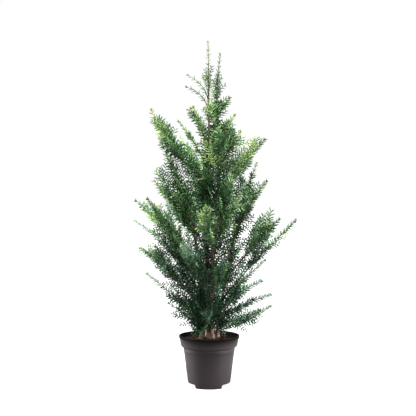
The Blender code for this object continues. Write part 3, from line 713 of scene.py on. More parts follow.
# %% Single fronds
# Fronds that the plant has and the rule doesn't give, in the order that they are drawn. Each row names
# a limb and its fronds: the share of the limb where one leaves, in thousandths, its azimuth and rise
# in degrees, and its size in millimetres.
FRONDS = (
    ("left_high", ((550, 175, 69, 150), (400, 185, 75, 150), (700, 190, 62, 100))),
    ("left_crown", (
        (380, 190, 64, 130), (300, 200, 62, 130), (500, 185, 66, 115), (200, 190, 60, 120),
        (450, 195, 60, 130), (600, 188, 62, 100), (660, 185, 70, 85), (740, 185, 62, 65),
        (120, 195, 44, 120),
    )),
    ("left_inner", ((600, 195, 47, 52), (740, 195, 40, 38))),
    ("top_right", ((800, 180, 78, 85),)),
    ("right_wide", ((620, 5, 26, 50), (700, 5, 28, 46), (780, 5, 31, 40), (860, 5, 34, 30))),
    ("left_wide_low", ((550, 188, 64, 120), (680, 190, 58, 90))),
    ("left_inner", ((350, 200, 66, 85), (150, 205, 66, 75))),
    ("on_leader", ((470, 270, 64, 120), (520, 285, 66, 120), (560, 255, 66, 120), (600, 275, 68, 110))),
    ("on_front", ((480, 250, 66, 120), (540, 280, 68, 120))),
    ("on_leader", ((420, 250, 66, 120), (380, 280, 64, 120))),
    ("right_foot", ((300, 345, 12, 85), (500, 350, 14, 60))),
    ("on_leader", ((30, 235, 8, 70), (35, 250, 14, 60))),
    ("on_left", ((40, 270, 15, 50), (50, 320, 20, 50), (60, 285, 30, 50))),
    ("on_leader", ((40, 265, 24, 60),)),
    ("on_front", ((35, 200, 14, 50), (45, 185, 24, 55))),
    ("on_leader", ((50, 300, 30, 50),)),
    ("on_back", ((50, 230, 20, 70),)),
    ("on_right", ((35, 200, 15, 50), (50, 215, 28, 55))),
    ("on_front", ((50, 230, 25, 60), (40, 310, 25, 45))),
    ("on_left", ((45, 240, 12, 50),)),
    ("on_back", (
        (50, 0, 25, 60), (60, 180, 40, 60), (70, 20, 50, 70), (45, 270, 30, 40), (60, 90, 30, 60),
        (80, 250, 45, 50), (80, 290, 45, 50), (40, 350, 10, 50), (40, 190, 10, 50),
    )),
    ("on_leader", ((460, 190, 60, 170), (410, 176, 64, 180), (500, 205, 56, 150), (370, 195, 58, 170))),
    ("on_front", ((550, 350, 57, 160), (580, 10, 60, 150), (510, 335, 54, 160), (620, 350, 62, 120))),
    ("on_right", (
        (600, 330, 76, 150), (520, 10, 70, 160), (400, 350, 56, 135), (300, 340, 50, 120),
        (470, 330, 62, 120), (560, 350, 70, 120), (220, 350, 55, 170), (260, 15, 58, 160),
        (180, 335, 50, 120), (180, 355, 34, 110), (280, 350, 70, 130),
    )),
    ("on_front", (
        (400, 350, 56, 165), (440, 5, 52, 150), (360, 340, 56, 170), (300, 345, 50, 120),
        (260, 350, 55, 130),
    )),
    ("top_right", ((700, 340, 66, 110), (750, 20, 70, 90))),
    ("on_left", (
        (80, 185, 55, 150), (130, 200, 62, 150), (50, 220, 50, 130), (110, 172, 50, 160),
        (160, 190, 58, 160), (90, 205, 64, 150), (200, 180, 55, 150), (450, 200, 62, 140),
        (350, 215, 58, 140), (50, 215, -25, 45), (60, 250, -40, 45), (120, 185, 44, 145),
        (60, 185, 29, 120), (50, 235, 10, 60),
    )),
    ("on_front", (
        (50, 235, -15, 60), (60, 290, -20, 50), (80, 255, 20, 70), (230, 320, 60, 130),
        (280, 300, 66, 120),
    )),
    ("on_right", (
        (60, 300, -20, 50), (50, 0, 38, 75), (70, 330, 18, 70), (55, 340, 18, 140), (75, 350, 26, 90),
    )),
    ("left_wide_low", (
        (600, 190, 62, 112), (450, 195, 61, 128), (750, 190, 50, 60), (850, 190, 35, 50),
        (650, 185, 50, 85), (250, 185, 52, 160), (350, 175, 50, 130),
    )),
    ("left_wide_front", ((250, 200, 48, 160), (450, 205, 50, 120))),
    ("left_low", ((350, 185, 30, 70),)),
    ("right_wide_high", ((600, 20, 72, 110), (750, 10, 75, 85), (500, 30, 68, 115), (680, 350, 70, 90))),
    ("right_middle", ((600, 0, 76, 85), (750, 0, 72, 55))),
    ("right_crown", ((600, 0, 72, 70), (750, 10, 70, 60))),
    ("right_wide", ((350, 10, 62, 90), (450, 5, 60, 100), (250, 0, 64, 110), (400, 350, 66, 100))),
    ("top_front", ((770, 0, 45, 50), (800, 5, 35, 50), (820, 350, 36, 55), (865, 0, 48, 45))),
    ("left_inner", ((800, 195, 45, 35),)),
    ("right_inner", ((500, 0, 62, 80), (300, 10, 58, 80))),
    ("on_left", ((40, 260, 0, 50), (70, 225, -15, 60), (90, 240, -30, 60), (100, 205, -10, 45))),
    ("on_back", ((50, 200, 10, 70), (60, 330, 5, 70), (80, 180, 25, 80))),
    ("on_leader", (
        (40, 160, 0, 60), (50, 30, 5, 60), (60, 200, -10, 60), (70, 340, 0, 60), (80, 180, 30, 80),
        (90, 10, 30, 80),
    )),
    ("on_front", (
        (40, 250, 55, 80), (50, 290, 60, 80), (60, 225, 50, 90), (70, 310, 60, 90), (90, 265, 65, 100),
        (110, 240, 60, 100), (120, 300, 66, 110), (80, 280, 70, 100), (50, 200, 40, 80),
    )),
    ("on_left", (
        (40, 290, 60, 70), (60, 300, 65, 80), (80, 270, 70, 80), (50, 240, 30, 70), (70, 210, 45, 90),
        (40, 180, 50, 80), (60, 230, 60, 80), (100, 250, 50, 90), (120, 225, 60, 100),
    )),
    ("on_leader", (
        (40, 240, 50, 80), (50, 215, 60, 90), (60, 190, 45, 80), (80, 230, 60, 100), (100, 200, 55, 100),
        (120, 250, 66, 110),
    )),
    ("on_right", (
        (50, 240, 60, 80), (70, 260, 66, 80), (90, 230, 60, 90), (100, 290, 60, 80), (120, 250, 66, 90),
        (60, 310, 45, 70),
    )),
)
print("fronds:", sum(len(fronds) for _, fronds in FRONDS))

# %% Runs of the fronds
FROND_TILT = 0.4
FROND_UP = 0.6


def frond_runs(limbs):
    """A run for each frond, with its face towards the front, and its twiglets."""
    rng = random.Random("fronds")
    runs = []
    rows = [(name, *row) for name, fronds in FRONDS for row in fronds]
    for name, share, azimuth, rise, size in rows:
        share, size = share / 1000, size / 1000
        turn, up = math.radians(azimuth), math.radians(rise)
        along = Vector((math.cos(turn) * math.cos(up), math.sin(turn) * math.cos(up), math.sin(up)))
        face = Vector((rng.uniform(-FROND_TILT, FROND_TILT), -1, rng.uniform(0, FROND_UP)))
        shoot = Shoot(limbs[name].place(share), along, squared(face, along), size, share)
        needle = LOOKS[name].needle if name in LOOKS else needle_at(shoot.root)
        run = shoot_run(limbs[name], shoot, 1, needle, rng)
        runs += [run] + twiglets(run, shoot, rng)
    return runs


def run_length(run):
    return sum((a - b).length for a, b in zip(run.points, run.points[1:]))


RUNS += frond_runs({limb.name: limb for limb in LIMBS + [stem_limb(stem) for stem in STEMS]})
RUNS = [run for run in RUNS if run.order == 0 or not hides_front_stem(run.points)]
print(f"runs of twig: {len(RUNS)}, {sum(map(run_length, RUNS)):.0f} m in all")

# %% [markdown]
# ## Needles
# A yew needle is a flat blade about 20 mm long and 2 mm wide, with a raised midrib above, a paler
# underside and a short point. Each is a closed blade of twelve triangles: a point at its root, two
# three-cornered rings and a point at its tip. The blades are drawn about twice as wide as life, so
# that they still show when the whole plant is in view. Arrays hold all needles of a run at once,
# which makes tens of thousands of them in seconds, where separate objects would be slow.

# %% Needle blades
NEEDLE_THICKNESS = 0.0009
# The two rings of a blade as shares of its length, and what the far one has of width and bend.
NEAR_RING = 0.16
FAR_RING = 0.74
FAR_WIDTH = 0.9
FAR_BEND = 0.5

UNDER = [(1, 4, 2), (4, 5, 2), (0, 1, 2), (4, 7, 5)]
UPPER = [(1, 3, 4), (3, 6, 4), (2, 5, 3), (5, 6, 3), (0, 3, 1), (0, 2, 3), (4, 6, 7), (5, 7, 6)]


def unit(vectors):
    return vectors / np.linalg.norm(vectors, axis=-1, keepdims=True)


def swung(first, second, angle):
    """Directions at an angle from a first towards a second that is square to it."""
    return first * np.cos(angle)[:, None] + second * np.sin(angle)[:, None]


def square_to(vectors, along):
    return unit(vectors - along * np.sum(vectors * along, axis=1)[:, None])


def blades(base, forward, face, length, width, bend):
    """Corners of needles, eight to each."""
    side = np.cross(face, forward)
    half = width[:, None] / 2
    thick = face * NEEDLE_THICKNESS
    near = base + forward * (NEAR_RING * length[:, None])
    far = base + forward * (FAR_RING * length[:, None]) + bend * FAR_BEND
    tip = base + forward * length[:, None] + bend
    rows = [base, near + side * half, near - side * half, near + thick]
    rows += [far + side * half * FAR_WIDTH, far - side * half * FAR_WIDTH, far + thick, tip]
    return np.stack(rows, axis=1)


print("faces in a needle:", len(UNDER) + len(UPPER))

# %% Needles along a run
NEEDLE_WIDTH = 0.0044
NEEDLE_LONG = 0.024
LEAST_WIDTH = 0.6
NEEDLE_SIZES = (0.85, 1.1)
NEEDLE_PLACING = (0.2, 0.8)
FEWEST_NEEDLES = 4
HEADING_STEP = 0.004
# Angles in degrees: a needle's own with its twig, and the mean and spread of its rise from the ranks.
ANGLE_AT_ROOT = 74.0
ANGLE_AT_TIP = 38.0
ANGLE_SPREAD = 5
RANK_RISE = (8, 8)
# Needles near a twig's foot and near its tip are shorter.
FOOT_FULLNESS = 0.8
TIP_FROM = 0.75
TIP_SHRINK = 1.5
FALCATE = 0.12
BEND_SPREAD = 0.03
UPPER_SPREAD = 0.22
RADIAL_UP = 0.6
HANG = 0.7
SLIM = ("top_leader", "top_front", "crown_left_low", "crown_left_high")
SLIM_SHARE = 0.75


def along_run(run, at):
    """The place on a run at each distance from its foot, and the way it heads there."""
    points = np.array(run.points, float)
    reach = np.concatenate([[0], np.cumsum(np.linalg.norm(np.diff(points, axis=0), axis=1))])
    where = lambda far: np.stack([np.interp(far, reach, points[:, axis]) for axis in range(3)], axis=1)
    return where(at), unit(where(at + HEADING_STEP) - where(at - HEADING_STEP))


def needles_on(run, rng):
    """The needles along a run, in two ranks or all round it, and their share of its length."""
    total = run_length(run)
    count = max(FEWEST_NEEDLES, int(total * (1 - run.bare) / run.spacing * 2))
    places = np.arange(count) + rng.uniform(*NEEDLE_PLACING, count)
    share = run.bare + (1 - run.bare) * places / count
    centre, along = along_run(run, share * total)
    face = unit(np.array(run.face) - along * (along @ np.array(run.face))[:, None])
    side = np.cross(face, along)
    if run.radial:
        turn = np.radians(GOLDEN_ANGLE) * np.arange(count)
        out = swung(side, face, turn)
        if run.limb.name in HANGING:
            out = square_to(out - np.array((0, 0, HANG)), along)
    else:
        rise = np.radians(rng.normal(*RANK_RISE, count))
        hand = np.where(np.arange(count) % 2, 1.0, -1.0)
        out = side * (hand * np.cos(rise))[:, None] + face * np.sin(rise)[:, None]
    angle = between(ANGLE_AT_ROOT, ANGLE_AT_TIP, share ** 2) + rng.normal(0, ANGLE_SPREAD, count)
    angle = np.radians(angle)
    forward = swung(along, out, angle)
    tip_share = np.where(share > TIP_FROM, 1 - TIP_SHRINK * (share - TIP_FROM), 1)
    fullness = np.minimum(1, FOOT_FULLNESS + share) * tip_share
    length = run.needle * fullness * rng.uniform(*NEEDLE_SIZES, count)
    slender = LEAST_WIDTH + (1 - LEAST_WIDTH) * run.needle / NEEDLE_LONG
    width = NEEDLE_WIDTH * rng.uniform(*NEEDLE_SIZES, count) * slender
    if run.limb.name in SLIM:
        width = width * SLIM_SHARE
    upper = along * RADIAL_UP + unit(np.cross(forward, along)) if run.radial else face
    upper = upper + side * rng.normal(0, UPPER_SPREAD, count)[:, None]
    upper = square_to(upper, forward)
    bend = (along * FALCATE + rng.normal(0, BEND_SPREAD, (count, 3))) * length[:, None]
    return blades(centre, forward, upper, length, width, bend), share


print("needles lean from", ANGLE_AT_ROOT, "degrees at a twig's foot to", ANGLE_AT_TIP, "at its tip")

# %% Tufts round the buds
TUFT_NEEDLES = 7
TUFT_LEAN = 34.0
TUFT_LEAN_SPREAD = 9
TUFT_TURN = 0.6
TUFT_SHARE = 0.55
TUFT_SIZES = (0.8, 1.15)
TUFT_LEAST = 0.008
TUFT_WIDTH = 0.8
TUFT_BEND = 0.1
TUFT_SUNK = (0.001, 0.004)


def tuft_on(run, rng):
    """A few short needles close round the bud at the end of a run."""
    count = TUFT_NEEDLES
    tip, behind = np.array(run.points[-1], float), np.array(run.points[-2], float)
    ahead = unit(tip - behind)
    face = unit(np.array(run.face) - ahead * (ahead @ np.array(run.face)))
    side = np.cross(face, ahead)
    turn = math.tau * (np.arange(count) + rng.uniform(0, TUFT_TURN, count)) / count
    out = swung(side, face, turn)
    lean = np.radians(TUFT_LEAN + rng.normal(0, TUFT_LEAN_SPREAD, count))
    forward = swung(ahead, out, lean)
    upper = unit(ahead - forward * (forward @ ahead)[:, None])
    length = max(TUFT_LEAST, run.needle * TUFT_SHARE) * rng.uniform(*TUFT_SIZES, count)
    base = tip - ahead * rng.uniform(*TUFT_SUNK, count)[:, None]
    width = np.full(count, NEEDLE_WIDTH * TUFT_WIDTH)
    bend = -out * TUFT_BEND * length[:, None]
    return blades(base, forward, upper, length, width, bend), np.ones(count)


print("needles in a tuft:", TUFT_NEEDLES)

# %% [markdown]
# ## Shared effects
# Needles, bark, plastic and soil all need a broken, blotchy mask at their own scale, and pot and soil
# gather dust where they face up. Each effect is one node group with named inputs and outputs, built
# once and placed in every material with its own values.

# %% Node groups
BLOTCH_DETAIL = 4
MIDDLE = 0.5


def new_group(name, inputs):
    """An empty shader node group with float inputs (name and default) and one Mask as its output."""
    group = bpy.data.node_groups.new(name, "ShaderNodeTree")
    for label, default in inputs.items():
        socket = group.interface.new_socket(label, in_out="INPUT", socket_type="NodeSocketFloat")
        socket.default_value = default
    group.interface.new_socket("Mask", in_out="OUTPUT", socket_type="NodeSocketFloat")
    return group, group.nodes.new("NodeGroupInput").outputs, group.nodes.new("NodeGroupOutput")


def blotch_group():
    """A noise mask in object space. Stretch above 1 draws it out upward, Contrast hardens it."""
    group, given, result = new_group("blotches", {"Scale": 40, "Stretch": 1, "Contrast": 2})
    place = add_node(group, "TexCoord", {}).outputs["Object"]
    squeeze = add_node(group, "Math", {0: 1, 1: given["Stretch"]}, "DIVIDE").outputs[0]
    scale = add_node(group, "CombineXYZ", {"X": 1, "Y": 1, "Z": squeeze}).outputs[0]
    drawn = add_node(group, "VectorMath", {0: place, 1: scale}, "MULTIPLY").outputs[0]
    inputs = {"Detail": BLOTCH_DETAIL, "Vector": drawn, "Scale": given["Scale"]}
    cloud = add_node(group, "TexNoise", inputs).outputs["Fac"]
    centred = add_node(group, "Math", {0: cloud, 1: MIDDLE}, "SUBTRACT").outputs[0]
    hard = add_node(group, "Math", {0: centred, 1: given["Contrast"], 2: MIDDLE}, "MULTIPLY_ADD")
    hard.use_clamp = True
    give(group, result, {"Mask": hard.outputs[0]})
    return group


def dust_group():
    """Dust settles where a surface faces up: Amount of it, broken up by a mask."""
    group, given, result = new_group("dust", {"Amount": 0.5, "Breakup": 0.5})
    facing = add_node(group, "NewGeometry", {}).outputs["Normal"]
    upward = axis_of(group, facing, "Z")
    up = add_node(group, "Math", {0: upward, 1: given["Amount"]}, "MULTIPLY")
    up.use_clamp = True
    broken = add_node(group, "Math", {0: up.outputs[0], 1: given["Breakup"]}, "MULTIPLY")
    give(group, result, {"Mask": broken.outputs[0]})
    return group


BLOTCHES = blotch_group()
DUST = dust_group()
print("node groups:", BLOTCHES.name, DUST.name)

# %% Effects in a material
def effect(tree, group, **values):
    """The mask of a shared effect, placed in a material with its own values."""
    node = tree.nodes.new("ShaderNodeGroup")
    node.node_tree = group
    give(tree, node, values)
    return node.outputs["Mask"]


def blotches(tree, scale, stretch, contrast):
    return effect(tree, BLOTCHES, Scale=scale, Stretch=stretch, Contrast=contrast)


def mixed(tree, mask, low, high):
    """The colour between two, by a mask. Sockets 6 and 7 of a Mix node are its two colours."""
    node = tree.nodes.new("ShaderNodeMix")
    node.data_type = "RGBA"
    give(tree, node, {"Factor": mask, 6: low, 7: high})
    return node.outputs[2]


def height_mask(tree, none, full):
    """A mask over height in metres: 0 at one height and 1 at the other."""
    place = add_node(tree, "TexCoord", {}).outputs["Object"]
    return ranged(tree, axis_of(tree, place, "Z"), 0.0, 1.0, none, full)


def bumped(tree, height, distance, strength):
    """The normal of a surface with a bump, from a mask of its height."""
    inputs = {"Height": height, "Distance": distance, "Strength": strength}
    return add_node(tree, "Bump", inputs).outputs["Normal"]


def finished(made, colour, roughness, specular, normal=None):
    """The material, once its shader has what makes its finish."""
    material, tree, shader = made
    give(tree, shader, {"Base Color": colour, "Roughness": roughness, "Specular IOR Level": specular})
    if normal:
        give(tree, shader, {"Normal": normal})
    return material


print("effects ready")

# %% [markdown]
# ## Greens
# New growth is yellow-green and a summer's needles are a full green. Light and shade are painted
# into the greens as well: sprays high up and far out are dealt lighter greens, as fresh growth and
# painted light, those deep inside and close to the soil darker ones as painted shade, and those low
# on the plant bluer ones. A colour that has a place is dealt out by spray as a plain finish of its
# own. The underside of a needle is paler.

# %% Needle finishes
GREENS = {
    "deep": (0.0120, 0.0400, 0.0150),
    "shade": (0.0220, 0.0740, 0.0220),
    "mid": (0.0400, 0.1200, 0.0340),
    "leaf": (0.0830, 0.1830, 0.0690),
    "light": (0.2100, 0.3450, 0.1570),
    "fresh": (0.2900, 0.4200, 0.1250),
    "blue_deep": (0.0150, 0.0460, 0.0220),
    "blue": (0.0310, 0.0920, 0.0440),
    "blue_light": (0.1030, 0.2150, 0.1240),
    "blue_pale": (0.2500, 0.3700, 0.2800),
}
# Each ramp runs from dark to pale, and a needle's step on it is painted light and shade as well as fresh
# growth.
UPPER_RAMP = ["deep", "shade", "mid", "leaf", "light", "fresh"]
LOWER_RAMP = ["blue_deep", "blue_deep", "blue", "blue_light", "blue_pale", "light"]
UNDERSIDE = (1.45, 1.30, 1.50)
# Here and below, blotches are given as their scale, stretch and contrast, a roughness as its two
# ends, and a bump as its distance and strength.
WAX_BLOTCHES = (350.0, 1.0, 2.5)
WAX_ROUGHNESS = (0.40, 0.62)
NEEDLE_SPECULAR = 0.10


def needle_material(name, colour):
    """A plain green whose wax is broken up by a fine mask."""
    made = node_material(name)
    wax = blotches(made[1], *WAX_BLOTCHES)
    return finished(made, colour, ranged(made[1], wax, *WAX_ROUGHNESS), NEEDLE_SPECULAR)


NEEDLE_MATERIALS = []
for green, colour in GREENS.items():
    NEEDLE_MATERIALS.append(needle_material("needle_" + green, colour))
    pale = [channel * lift for channel, lift in zip(colour, UNDERSIDE)]
    NEEDLE_MATERIALS.append(needle_material("needle_" + green + "_under", pale))
print("needle finishes:", len(NEEDLE_MATERIALS))

# %% Deal the greens
BLUE_BELOW = 0.50
BLUE_BLEND = 0.08
SPRAY_SPREAD = 0.80
NEEDLE_SPREAD = 0.55
PATCH_SCALE = 11.0
PATCH_SPREAD = 2.8
# Sprays high up and far out step up the ramp, as fresh growth and painted light.
LEAST_TONE_STEP = 0.2
FRESH_AND_LIT_GAIN = 2.5
HEIGHT_FRESH_AND_LIT = 0.85
OUTER_FRESH_AND_LIT = 0.75
CROWN_MIDDLE = 0.01
CROWN_RADIUS = 0.22
# Painted shade: sprays deep inside are darker by one amount, and by up to one step more close to the soil.
LOW_INSIDE = 0.36
INSIDE_SHADE = 0.7
SOIL_SHADE_TOP = 0.28
SOIL_SHADE_SPAN = 0.08
TIP_FRESH = 1.2
TIP_SHARE = 0.65


def freshness_and_light(point):
    """How fresh and how lit needles are at a place, fresh growth and painted light in one: low inside and
    near the soil, high at the outer tips.
    """
    away = math.hypot(point.x - CROWN_MIDDLE, point.y - CROWN_MIDDLE)
    outer = min(1.0, away / CROWN_RADIUS)
    return HEIGHT_FRESH_AND_LIT * (point.z - SOIL_HEIGHT) + OUTER_FRESH_AND_LIT * outer


def tones(run, share, rng):
    """A tone for each needle of a run: painted light and shade by where its spray is, and fresher towards
    its tip.
    """
    tip = run.points[-1]
    level = LEAST_TONE_STEP + FRESH_AND_LIT_GAIN * freshness_and_light(tip) + LOOKS.get(run.limb.name, PLAIN).fresh
    level += rng.normal(0, SPRAY_SPREAD)
    # Painted shade for sprays deep inside, with more of it close to the soil.
    if run.order == 3 or (run.limb.name.startswith("on_") and tip.z < LOW_INSIDE):
        level -= INSIDE_SHADE + min(1.0, max(0.0, (SOIL_SHADE_TOP - tip.z) / SOIL_SHADE_SPAN))
    else:
        level += PATCH_SPREAD * noise.noise(tip * PATCH_SCALE)
    level = level + TIP_FRESH * np.clip((share - TIP_SHARE) / (1 - TIP_SHARE), 0, 1)
    level = level + rng.normal(0, NEEDLE_SPREAD, len(share))
    step = np.clip(np.floor(level), 0, len(UPPER_RAMP) - 1).astype(int)
    lower = tip.z + rng.normal(0, BLUE_BLEND) < BLUE_BELOW
    ramp = np.array([list(GREENS).index(green) for green in (LOWER_RAMP if lower else UPPER_RAMP)])
    return ramp[step]


print("greens:", ", ".join(GREENS))

# %% Keep to the plant's own size
BOX_MARGIN = 0.0005
LEAST_KEPT = 0.35


def inner_box():
    """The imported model's box, a little smaller on all sides."""
    return np.array(cad_box[0]) + BOX_MARGIN, np.array(cad_box[1]) - BOX_MARGIN


def kept_inside(corners):
    """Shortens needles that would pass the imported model's box. Says which are still worth keeping."""
    low, high = inner_box()
    base = corners[:, :1]
    offset = corners - base
    room = np.where(offset > 0, high - base, base - low)
    share = np.clip(np.min(room / np.maximum(np.abs(offset), 1e-9), axis=(1, 2)), 0, 1)
    return base + offset * share[:, None, None], share > LEAST_KEPT


print("needles keep", BOX_MARGIN, "m inside the box")

# %% [markdown]
# ## Meshes from arrays
# Blender takes corners and triangles straight from arrays, which is far quicker than adding them
# one by one. Every piece rides on the plant's one body, and the imported nodes that it stands for are
# hidden. The splinters stand for none, since the packed soil is plain.

# %% Pieces
def add_piece(name, points, faces, materials, slots=None, smooth=False):
    """A mesh object from arrays of corners and triangles, riding on the plant's one body."""
    mesh = bpy.data.meshes.new(name)
    points, faces = np.asarray(points, np.float32), np.asarray(faces, np.int32)
    mesh.vertices.add(len(points))
    mesh.vertices.foreach_set("co", points.ravel())
    mesh.loops.add(faces.size)
    mesh.loops.foreach_set("vertex_index", faces.ravel())
    mesh.polygons.add(len(faces))
    mesh.polygons.foreach_set("loop_start", np.arange(0, faces.size, 3, dtype=np.int32))
    for material in materials:
        mesh.materials.append(material)
    if slots is not None:
        mesh.polygons.foreach_set("material_index", np.asarray(slots, np.int32))
    mesh.update(calc_edges=True)
    if smooth:
        mesh.shade_smooth()
    else:
        mesh.shade_flat()
    obj = placed(name, mesh)
    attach(obj, "root")
    return obj


def stack(parts):
    """Joins (corners, faces) pairs into one."""
    corners, faces, first = [], [], 0
    for points, triangles in parts:
        corners.append(points)
        faces.append(np.asarray(triangles) + first)
        first += len(points)
    return np.concatenate(corners), np.concatenate(faces)


def foliage_nodes(stem_name):
    return ["foliage_" + limb.name for limb in LIMBS if limb.stem == stem_name]


# %% Grow the needles
MOST_TRIANGLES = 190_000
FRONT_SPLIT = 0.5
NEEDLE_CORNERS = 8


def needle_piece(name, runs):
    """All needles of some runs as one piece, with a slot for each green and its underside."""
    rng = np.random.default_rng(sum(map(ord, name)))
    corners, tone = [], []
    for run in runs:
        grown = [needles_on(run, rng)]
        if run.order == 0:
            grown.append(tuft_on(run, rng))
        share = np.concatenate([part[1] for part in grown])
        corners.append(np.concatenate([part[0] for part in grown]))
        tone.append(tones(run, share, rng))
    corners, tone = np.concatenate(corners), np.concatenate(tone)
    corners, kept = kept_inside(corners)
    corners, tone = corners[kept], tone[kept]
    pattern = np.array(UNDER + UPPER)
    faces = (np.arange(len(corners)) * NEEDLE_CORNERS)[:, None, None] + pattern
    slots = np.repeat(tone[:, None] * 2, len(pattern), axis=1)
    slots[:, : len(UNDER)] += 1
    obj = add_piece(name, corners.reshape(-1, 3), faces.reshape(-1, 3), NEEDLE_MATERIALS, slots.ravel())
    print(name, "needles:", len(corners), "triangles:", len(obj.data.polygons))
    return obj


NEEDLE_PIECES = {
    "leader_crown": ("leader", lambda run: run.limb.name != "on_leader"),
    "leader_inner": ("leader", lambda run: run.limb.name == "on_leader"),
    "front_upper": ("front", lambda run: run.points[0].z >= FRONT_SPLIT),
    "front_lower": ("front", lambda run: run.points[0].z < FRONT_SPLIT),
    "left": ("left", lambda run: True),
    "right": ("right", lambda run: True),
    "back": ("back", lambda run: True),
}
for name, (stem_name, belongs) in NEEDLE_PIECES.items():
    own = [run for run in RUNS if run.limb.stem == stem_name and belongs(run)]
    piece = needle_piece("needles_" + name, own)
    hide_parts(*foliage_nodes(stem_name))
    assert len(piece.data.polygons) < MOST_TRIANGLES, name

# %% [markdown]
# ## Twigs
# Under the needles every run is a thin tube, with six sides for a limb's own twig and three for its
# shoots, which is enough for wood so thin. A limb's own twig is brown, and the shoots on it are
# still green. All the twigs of a stem are joined into one piece with two finishes.

# %% Twig tubes
def ring_faces(rings, sides):
    """Triangles between rings of corners, and fans to a foot and a tip that follow them."""
    k, i = np.meshgrid(np.arange(rings - 1), np.arange(sides), indexing="ij")
    j = (i + 1) % sides
    a, b, c, d = k * sides + i, k * sides + j, (k + 1) * sides + j, (k + 1) * sides + i
    walls = np.concatenate([np.stack([a, b, c], -1).reshape(-1, 3), np.stack([a, c, d], -1).reshape(-1, 3)])
    i = np.arange(sides)
    j = (i + 1) % sides
    foot, tip, last = rings * sides, rings * sides + 1, (rings - 1) * sides
    low = np.stack([np.full(sides, foot), j, i], -1)
    high = np.stack([np.full(sides, tip), last + i, last + j], -1)
    return np.concatenate([walls, low, high])


def tube(points, radii, sides, reference, relief=None):
    """Corners and triangles of a limb through points, closed at both ends."""
    points, radii = np.array(points, float), np.array(radii, float)
    along = unit(np.gradient(points, axis=0))
    left = unit(np.cross(np.array(reference, float), along))
    up = np.cross(along, left)
    turns = math.tau * np.arange(sides) / sides
    ring = left[:, None] * np.cos(turns)[None, :, None] + up[:, None] * np.sin(turns)[None, :, None]
    width = radii[:, None] * (1 if relief is None else relief)
    corners = points[:, None] + ring * np.broadcast_to(width, ring.shape[:2])[..., None]
    corners = np.concatenate([corners.reshape(-1, 3), points[:1], points[-1:]])
    return corners, ring_faces(len(points), sides)


TWIG_STREAKS = (260.0, 4.0, 2.5)
TWIG_ROUGHNESS = (0.6, 0.8)
TWIG_BUMP = (0.0003, 0.5)
TWIG_SPECULAR = 0.5


def twig_material(name, low, high):
    """Thin bark between two tones, drawn out along the twig."""
    made = node_material(name)
    tree = made[1]
    streaks = blotches(tree, *TWIG_STREAKS)
    roughness = ranged(tree, streaks, *TWIG_ROUGHNESS)
    normal = bumped(tree, streaks, *TWIG_BUMP)
    return finished(made, mixed(tree, streaks, low, high), roughness, TWIG_SPECULAR, normal)


TWIG_BROWN = twig_material("twig_brown", (0.055, 0.026, 0.017), (0.100, 0.050, 0.034))
TWIG_GREEN = twig_material("twig_green", (0.045, 0.065, 0.022), (0.075, 0.115, 0.038))
print("twig finishes:", TWIG_BROWN.name, TWIG_GREEN.name)

# %% Twigs of each stem
AXIS_SIDES = 6
SHOOT_SIDES = 3

for stem_name in STEM:
    own = [run for run in RUNS if run.limb.stem == stem_name]
    parts, slots = [], []
    for run in own:
        sides, finish = (AXIS_SIDES, 0) if run.order == 0 else (SHOOT_SIDES, 1)
        parts.append(tube(run.points, run.radii, sides, run.face))
        slots.append(np.full(len(parts[-1][1]), finish))
    corners, faces = stack(parts)
    corners = np.clip(corners, *inner_box())
    finishes = [TWIG_BROWN, TWIG_GREEN]
    piece = add_piece("twigs_" + stem_name, corners, faces, finishes, np.concatenate(slots), True)
    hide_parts(*foliage_nodes(stem_name))
    print(piece.name, "triangles:", len(faces))

# %% [markdown]
# ## Bark
# Young yew wood is reddish brown, with darker furrows that run along it and thin scales that lift
# off pinkish. The relief is in the mesh: rings every few millimetres, pushed in and out by noise
# that is drawn out along the limb. The colours are two blotch masks, long streaks under broader
# scales, and the wood is painted paler where it meets the soil, as painted light on the stems' feet.

# %% Bark finish
BARK_BROWN = (0.110, 0.062, 0.045)
BARK_FURROW = (0.032, 0.018, 0.013)
BARK_SCALE = (0.240, 0.155, 0.125)
# A paler brown, painted as light on the stems' feet.
BARK_LIT_FOOT = (0.165, 0.092, 0.070)
BARK_STREAKS = (260.0, 7.0, 4.0)
BARK_SCALES = (120.0, 2.5, 6.0)
# How far the scales' colour covers the brown, from the mask's low end to its high end.
SCALE_COVER = (-0.6, 0.8)
LIT_FOOT_COVER = (0.0, 0.7)
# The painted light on the stems' feet starts at the first of these heights and is full at the second.
LIT_FOOT_HEIGHTS = (0.25, 0.17)
BARK_ROUGHNESS = (0.9, 0.68)
BARK_BUMP = (0.0006, 0.6)
BARK_SPECULAR = 0.3


def bark_material():
    """Furrowed brown under pinkish scales, with painted light that makes the wood paler where the stems
    meet the soil.
    """
    made = node_material("yew_bark_finish")
    tree = made[1]
    streaks = blotches(tree, *BARK_STREAKS)
    scales = ranged(tree, blotches(tree, *BARK_SCALES), *SCALE_COVER)
    # Painted light on the stems' feet, by height.
    foot = ranged(tree, height_mask(tree, *LIT_FOOT_HEIGHTS), *LIT_FOOT_COVER)
    colour = mixed(tree, streaks, BARK_FURROW, BARK_BROWN)
    colour = mixed(tree, foot, mixed(tree, scales, colour, BARK_SCALE), BARK_LIT_FOOT)
    roughness = ranged(tree, streaks, *BARK_ROUGHNESS)
    return finished(made, colour, roughness, BARK_SPECULAR, bumped(tree, streaks, *BARK_BUMP))


BARK = bark_material()
print("bark finish:", BARK.name)

# %% Bark relief
BARK_STEP = 0.0035
BARK_SIDES = 26
RIDGE_DEPTH = 0.11
SCALE_DEPTH = 0.05
FOOT_SUNK = 0.003
FEWEST_RINGS = 4
# How fine the noise of the ridges and of the scales is: round the limb, across it and along it.
RIDGE_NOISE = (1.9, 9, 16)
SCALE_NOISE = (5.0, 0, 90)
BARK_REFERENCE = (0.1, 1, 0)


